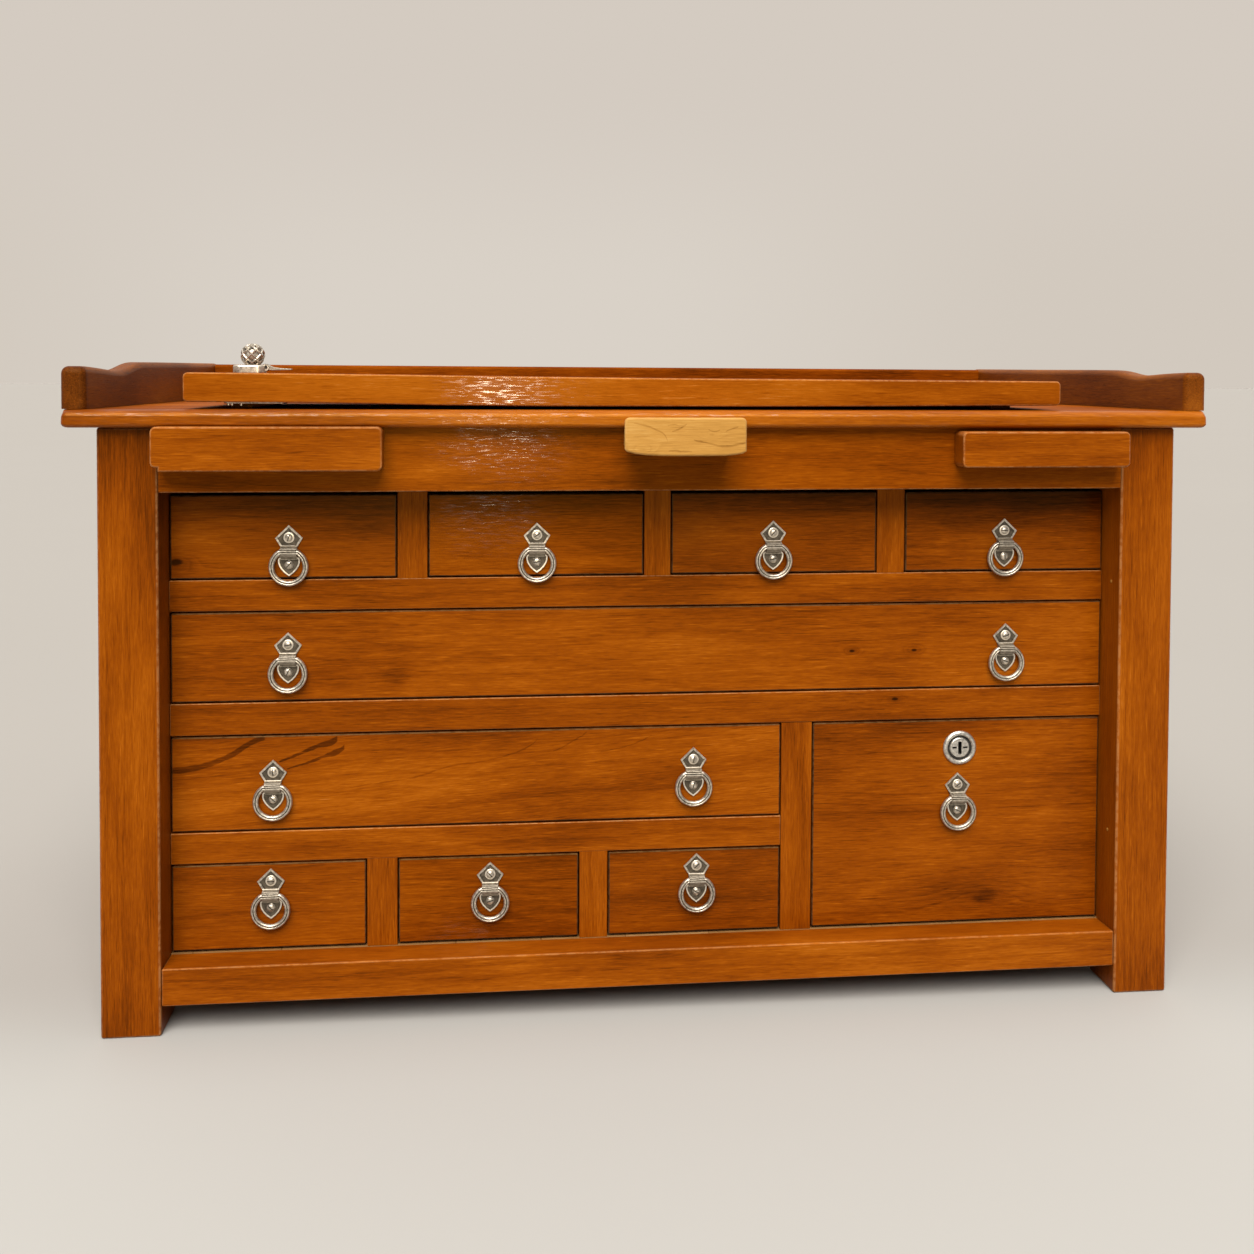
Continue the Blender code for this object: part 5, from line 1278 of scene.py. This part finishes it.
# ------------------------------------------------------------------- the knob
def knob():
    """Openwork ball of crossing bands on an oblong foot, with a thin tongue that runs off to the right."""
    kx, ky = -426.3, 61.0
    base, height = 681.3, 8.1
    piece = Piece("knob_openwork")
    foot = prism(rounded(kx - 20.0, kx + 14.0, ky - 11.0, ky + 11.0, 9.0, 8), "Z", base, base + height)
    piece.add(bevel(foot, 2.0, 4, keep=lambda a, b: min(a.z, b.z) > base + 5.0), NICKEL, edge_band=2.0)
    r = 11.6
    centre = Vector((kx, ky, base + 18.3))
    section = [((1.05 if k % 2 == 0 else 0.95), 2 * math.pi * k / 8) for k in range(8)]
    for hand in (-1, 1):
        for n in range(7):
            path = []
            for k in range(25):
                t = k / 24
                theta = math.radians(14 + 140 * t)
                phi = 2 * math.pi * n / 7 + 0.3 + hand * (t - 0.5) * 2.5
                path.append(centre + r * Vector((math.sin(theta) * math.cos(phi), math.sin(theta) * math.sin(phi), math.cos(theta))))
            piece.add(tube(path, section, False, radial=lambda p: (p - centre).normalized()), NICKEL)
    cap = ((0.0, 12.5), (1.6, 12.4), (3.0, 11.6), (3.6, 10.4), (3.2, 9.4), (0.0, 9.2))
    piece.add(turned([(q, z) for q, z in cap], centre, "Z", 24), NICKEL)
    collar = [(4.0, -12.3), (8.2, -12.3), (8.6, -11.2), (8.0, -10.0), (6.4, -9.2), (4.0, -9.4)]
    piece.add(turned(collar, centre, "Z", 32), NICKEL)
    # small curls that sit where the bands cross, under the cap
    for n in range(5):
        phi = 2 * math.pi * n / 5 + 0.3
        theta = math.radians(40)
        out = Vector((math.sin(theta) * math.cos(phi), math.sin(theta) * math.sin(phi), math.cos(theta)))
        side = Vector((-math.sin(phi), math.cos(phi), 0.0))
        rise = out.cross(side)
        path = [centre + out * 11.7 + 2.3 * (math.cos(a) * side + math.sin(a) * rise) for a in [2 * math.pi * k / 14 for k in range(14)]]
        piece.add(tube(path, [(0.8, 2 * math.pi * k / 6) for k in range(6)], True, normal=out), NICKEL)
    core = [(0.0, -10.2)] + [(9.6 * math.sin(math.radians(a)), -9.6 * math.cos(math.radians(a))) for a in range(20, 165, 12)] + [(0.0, 9.8)]
    piece.add(turned(core, centre, "Z", 24), MESH)
    hump = turned(((1.9, -5.0), (3.5, -5.0), (3.9, -4.4), (3.9, 4.4), (3.5, 5.0), (1.9, 5.0)), (kx + 14.0, ky, base + 5.4), "Y", 32)
    piece.add(hump, NICKEL)
    # the hole in the hump is filled with a near-black plug: painted shade
    piece.add(turned(((0.0, -3.5), (1.95, -3.5), (1.95, 3.5), (0.0, 3.5)), (kx + 14.0, ky, base + 5.4), "Y", 20), HOLE_SHADE)
    tongue = prism(
        [(kx + 15.0, base + 2.6), (kx + 24.0, base + 2.4), (kx + 33.0, base + 2.7), (kx + 41.0, base + 2.9), (kx + 41.0, base + 4.1), (kx + 30.0, base + 4.7), (kx + 22.0, base + 5.8), (kx + 16.5, base + 8.0)],
        "Y", ky - 4.0, ky + 4.0,
    )
    # the tongue takes the darker nickel: painted shade
    piece.add(bevel(tongue, 0.5, 2), RIBBED_AND_SHADE)
    piece.done("frame", "knob", slot="aged_nickel", smooth=40.0)

    # plate and screw ends under the board that hold the knob
    piece = Piece("knob_plate_under_board")
    plate = prism(rounded(-448.0, -386.0, 15.0, 36.0, 4.0, 4), "Z", 649.3, 650.8)
    piece.add(bevel(plate, 0.4, 2), NICKEL)
    for x in (-443.5, -439.6, -430.5):
        piece.add(turned(((0.0, -2.6), (1.0, -2.5), (1.6, -1.9), (1.6, 0.4), (0.0, 0.4)), (x, 18.5, 649.3), "Z", 16), NICKEL)
    piece.done("frame", slot="aged_nickel")


def small_marks():
    """Filled nail holes in the inner face of the right front post."""
    plug = wood("plug_wood", "zxy", (510, 20, 300), 50, palette=BEECH, tone=-0.12, contrast=0.5, gloss=0.3)
    piece = Piece("nail_plugs")
    for y, z in ((20.0, 454.0), (20.0, 176.0)):
        piece.add(turned(((0.0, -0.35), (1.7, -0.3), (2.1, 0.2), (2.1, 1.0), (0.0, 1.0)), (LEG_IN, y, z), "X", 18), plug)
    piece.done("frame")


posts()
apron()
bottom_rail()
side_panels()
back_panel()
carcass()
table_top()
gallery()
raised_board()
drawers()
arm_rests()
bench_pin()
pulls()
lock()
knob()
small_marks()


# ------------------------------------------------------------ floor and light
def floor():
    g = Graph("studio_floor")
    x, y, _ = g.split(g.co)
    soft = g.noise(g.co, 3.0, 0.5, 0.8)[0]
    # the floor is darker from just in front of the bench backwards: painted shade for the light falling off
    near = g.mix(soft, (0.342, 0.331, 0.308, 1.0), (0.350, 0.339, 0.316, 1.0))
    behind = g.mix(soft, (0.286, 0.267, 0.243, 1.0), (0.293, 0.274, 0.250, 1.0))
    colour = g.mix(g.step(y, -0.42, -0.12), near, behind)
    g.set(Base_Color=colour)
    g.bsdf.inputs["Roughness"].default_value = 0.75
    g.bsdf.inputs["Specular IOR Level"].default_value = 0.1
    mesh = bpy.data.meshes.new("studio_floor")
    bm = bmesh.new()
    bmesh.ops.create_circle(bm, cap_ends=True, radius=90.0, segments=96)
    bm.to_mesh(mesh)
    bm.free()
    mesh.materials.append(g.mat)
    obj = bpy.data.objects.new("studio_floor", mesh)
    bpy.context.scene.collection.objects.link(obj)


def sky():
    world = bpy.data.worlds.new("studio")
    bpy.context.scene.world = world
    world.use_nodes = True
    tree = world.node_tree
    back = tree.nodes["Background"]
    back.inputs["Strength"].default_value = 1.0
    parts = tree.nodes.new("ShaderNodeSeparateXYZ")
    tree.links.new(tree.nodes.new("ShaderNodeTexCoord").outputs["Generated"], parts.inputs[0])

    def blend(value, low, high, a, b):
        step = tree.nodes.new("ShaderNodeMapRange")
        step.interpolation_type = "SMOOTHSTEP"
        tree.links.new(value, step.inputs["Value"])
        step.inputs["From Min"].default_value, step.inputs["From Max"].default_value = low, high
        mix = tree.nodes.new("ShaderNodeMix")
        mix.data_type = "RGBA"
        tree.links.new(step.outputs[0], mix.inputs[0])
        for socket, colour in ((mix.inputs[6], a), (mix.inputs[7], b)):
            if isinstance(colour, tuple):
                socket.default_value = colour
            else:
                tree.links.new(colour, socket)
        return mix.outputs[2]

    across = tree.nodes.new("ShaderNodeMath")
    across.operation = "ABSOLUTE"
    tree.links.new(parts.outputs["X"], across.inputs[0])
    wall = blend(across.outputs[0], 0.10, 0.42, (0.694, 0.638, 0.571, 1.0), (0.645, 0.584, 0.515, 1.0))
    wall = blend(parts.outputs["Z"], 0.06, 0.22, wall, (0.658, 0.597, 0.533, 1.0))
    around = blend(parts.outputs["Y"], -0.25, 0.35, (0.19, 0.185, 0.18, 1.0), wall)
    tree.links.new(blend(parts.outputs["Z"], 0.30, 0.95, around, (1.15, 1.12, 1.08, 1.0)), back.inputs["Color"])


def lamp(name, kind, energy, colour, at=None, to=None, **values):
    data = bpy.data.lights.new(name, kind)
    data.energy, data.color = energy, colour
    for key, value in values.items():
        setattr(data, key, value)
    obj = bpy.data.objects.new(name, data)
    bpy.context.scene.collection.objects.link(obj)
    obj.location = at
    obj.rotation_euler = (Vector(to) - Vector(at)).to_track_quat("-Z", "Y").to_euler()
    return obj


floor()
sky()
lamp("key", "SUN", 5.70, (1.0, 0.985, 0.96), at=(-0.27, -1.72, 2.08), to=(0.0, 0.0, 0.0), angle=math.radians(46))
# two small ones that only show in the varnish and the metal
for shine in (
    lamp("front_softbox", "AREA", 5.0, (1.0, 0.87, 0.64), at=(-0.17, -2.29, 1.42), to=(-0.17, -0.28, 0.62), shape="DISK", size=0.18),
    lamp("low_softbox", "AREA", 3.9, (1.0, 0.87, 0.64), at=(-0.17, -1.70, 0.70), to=(-0.17, -0.28, 0.60), shape="DISK", size=0.07),
):
    shine.visible_diffuse = False
bpy.context.scene.view_settings.view_transform = "Standard"
bpy.context.scene.view_settings.look = "None"
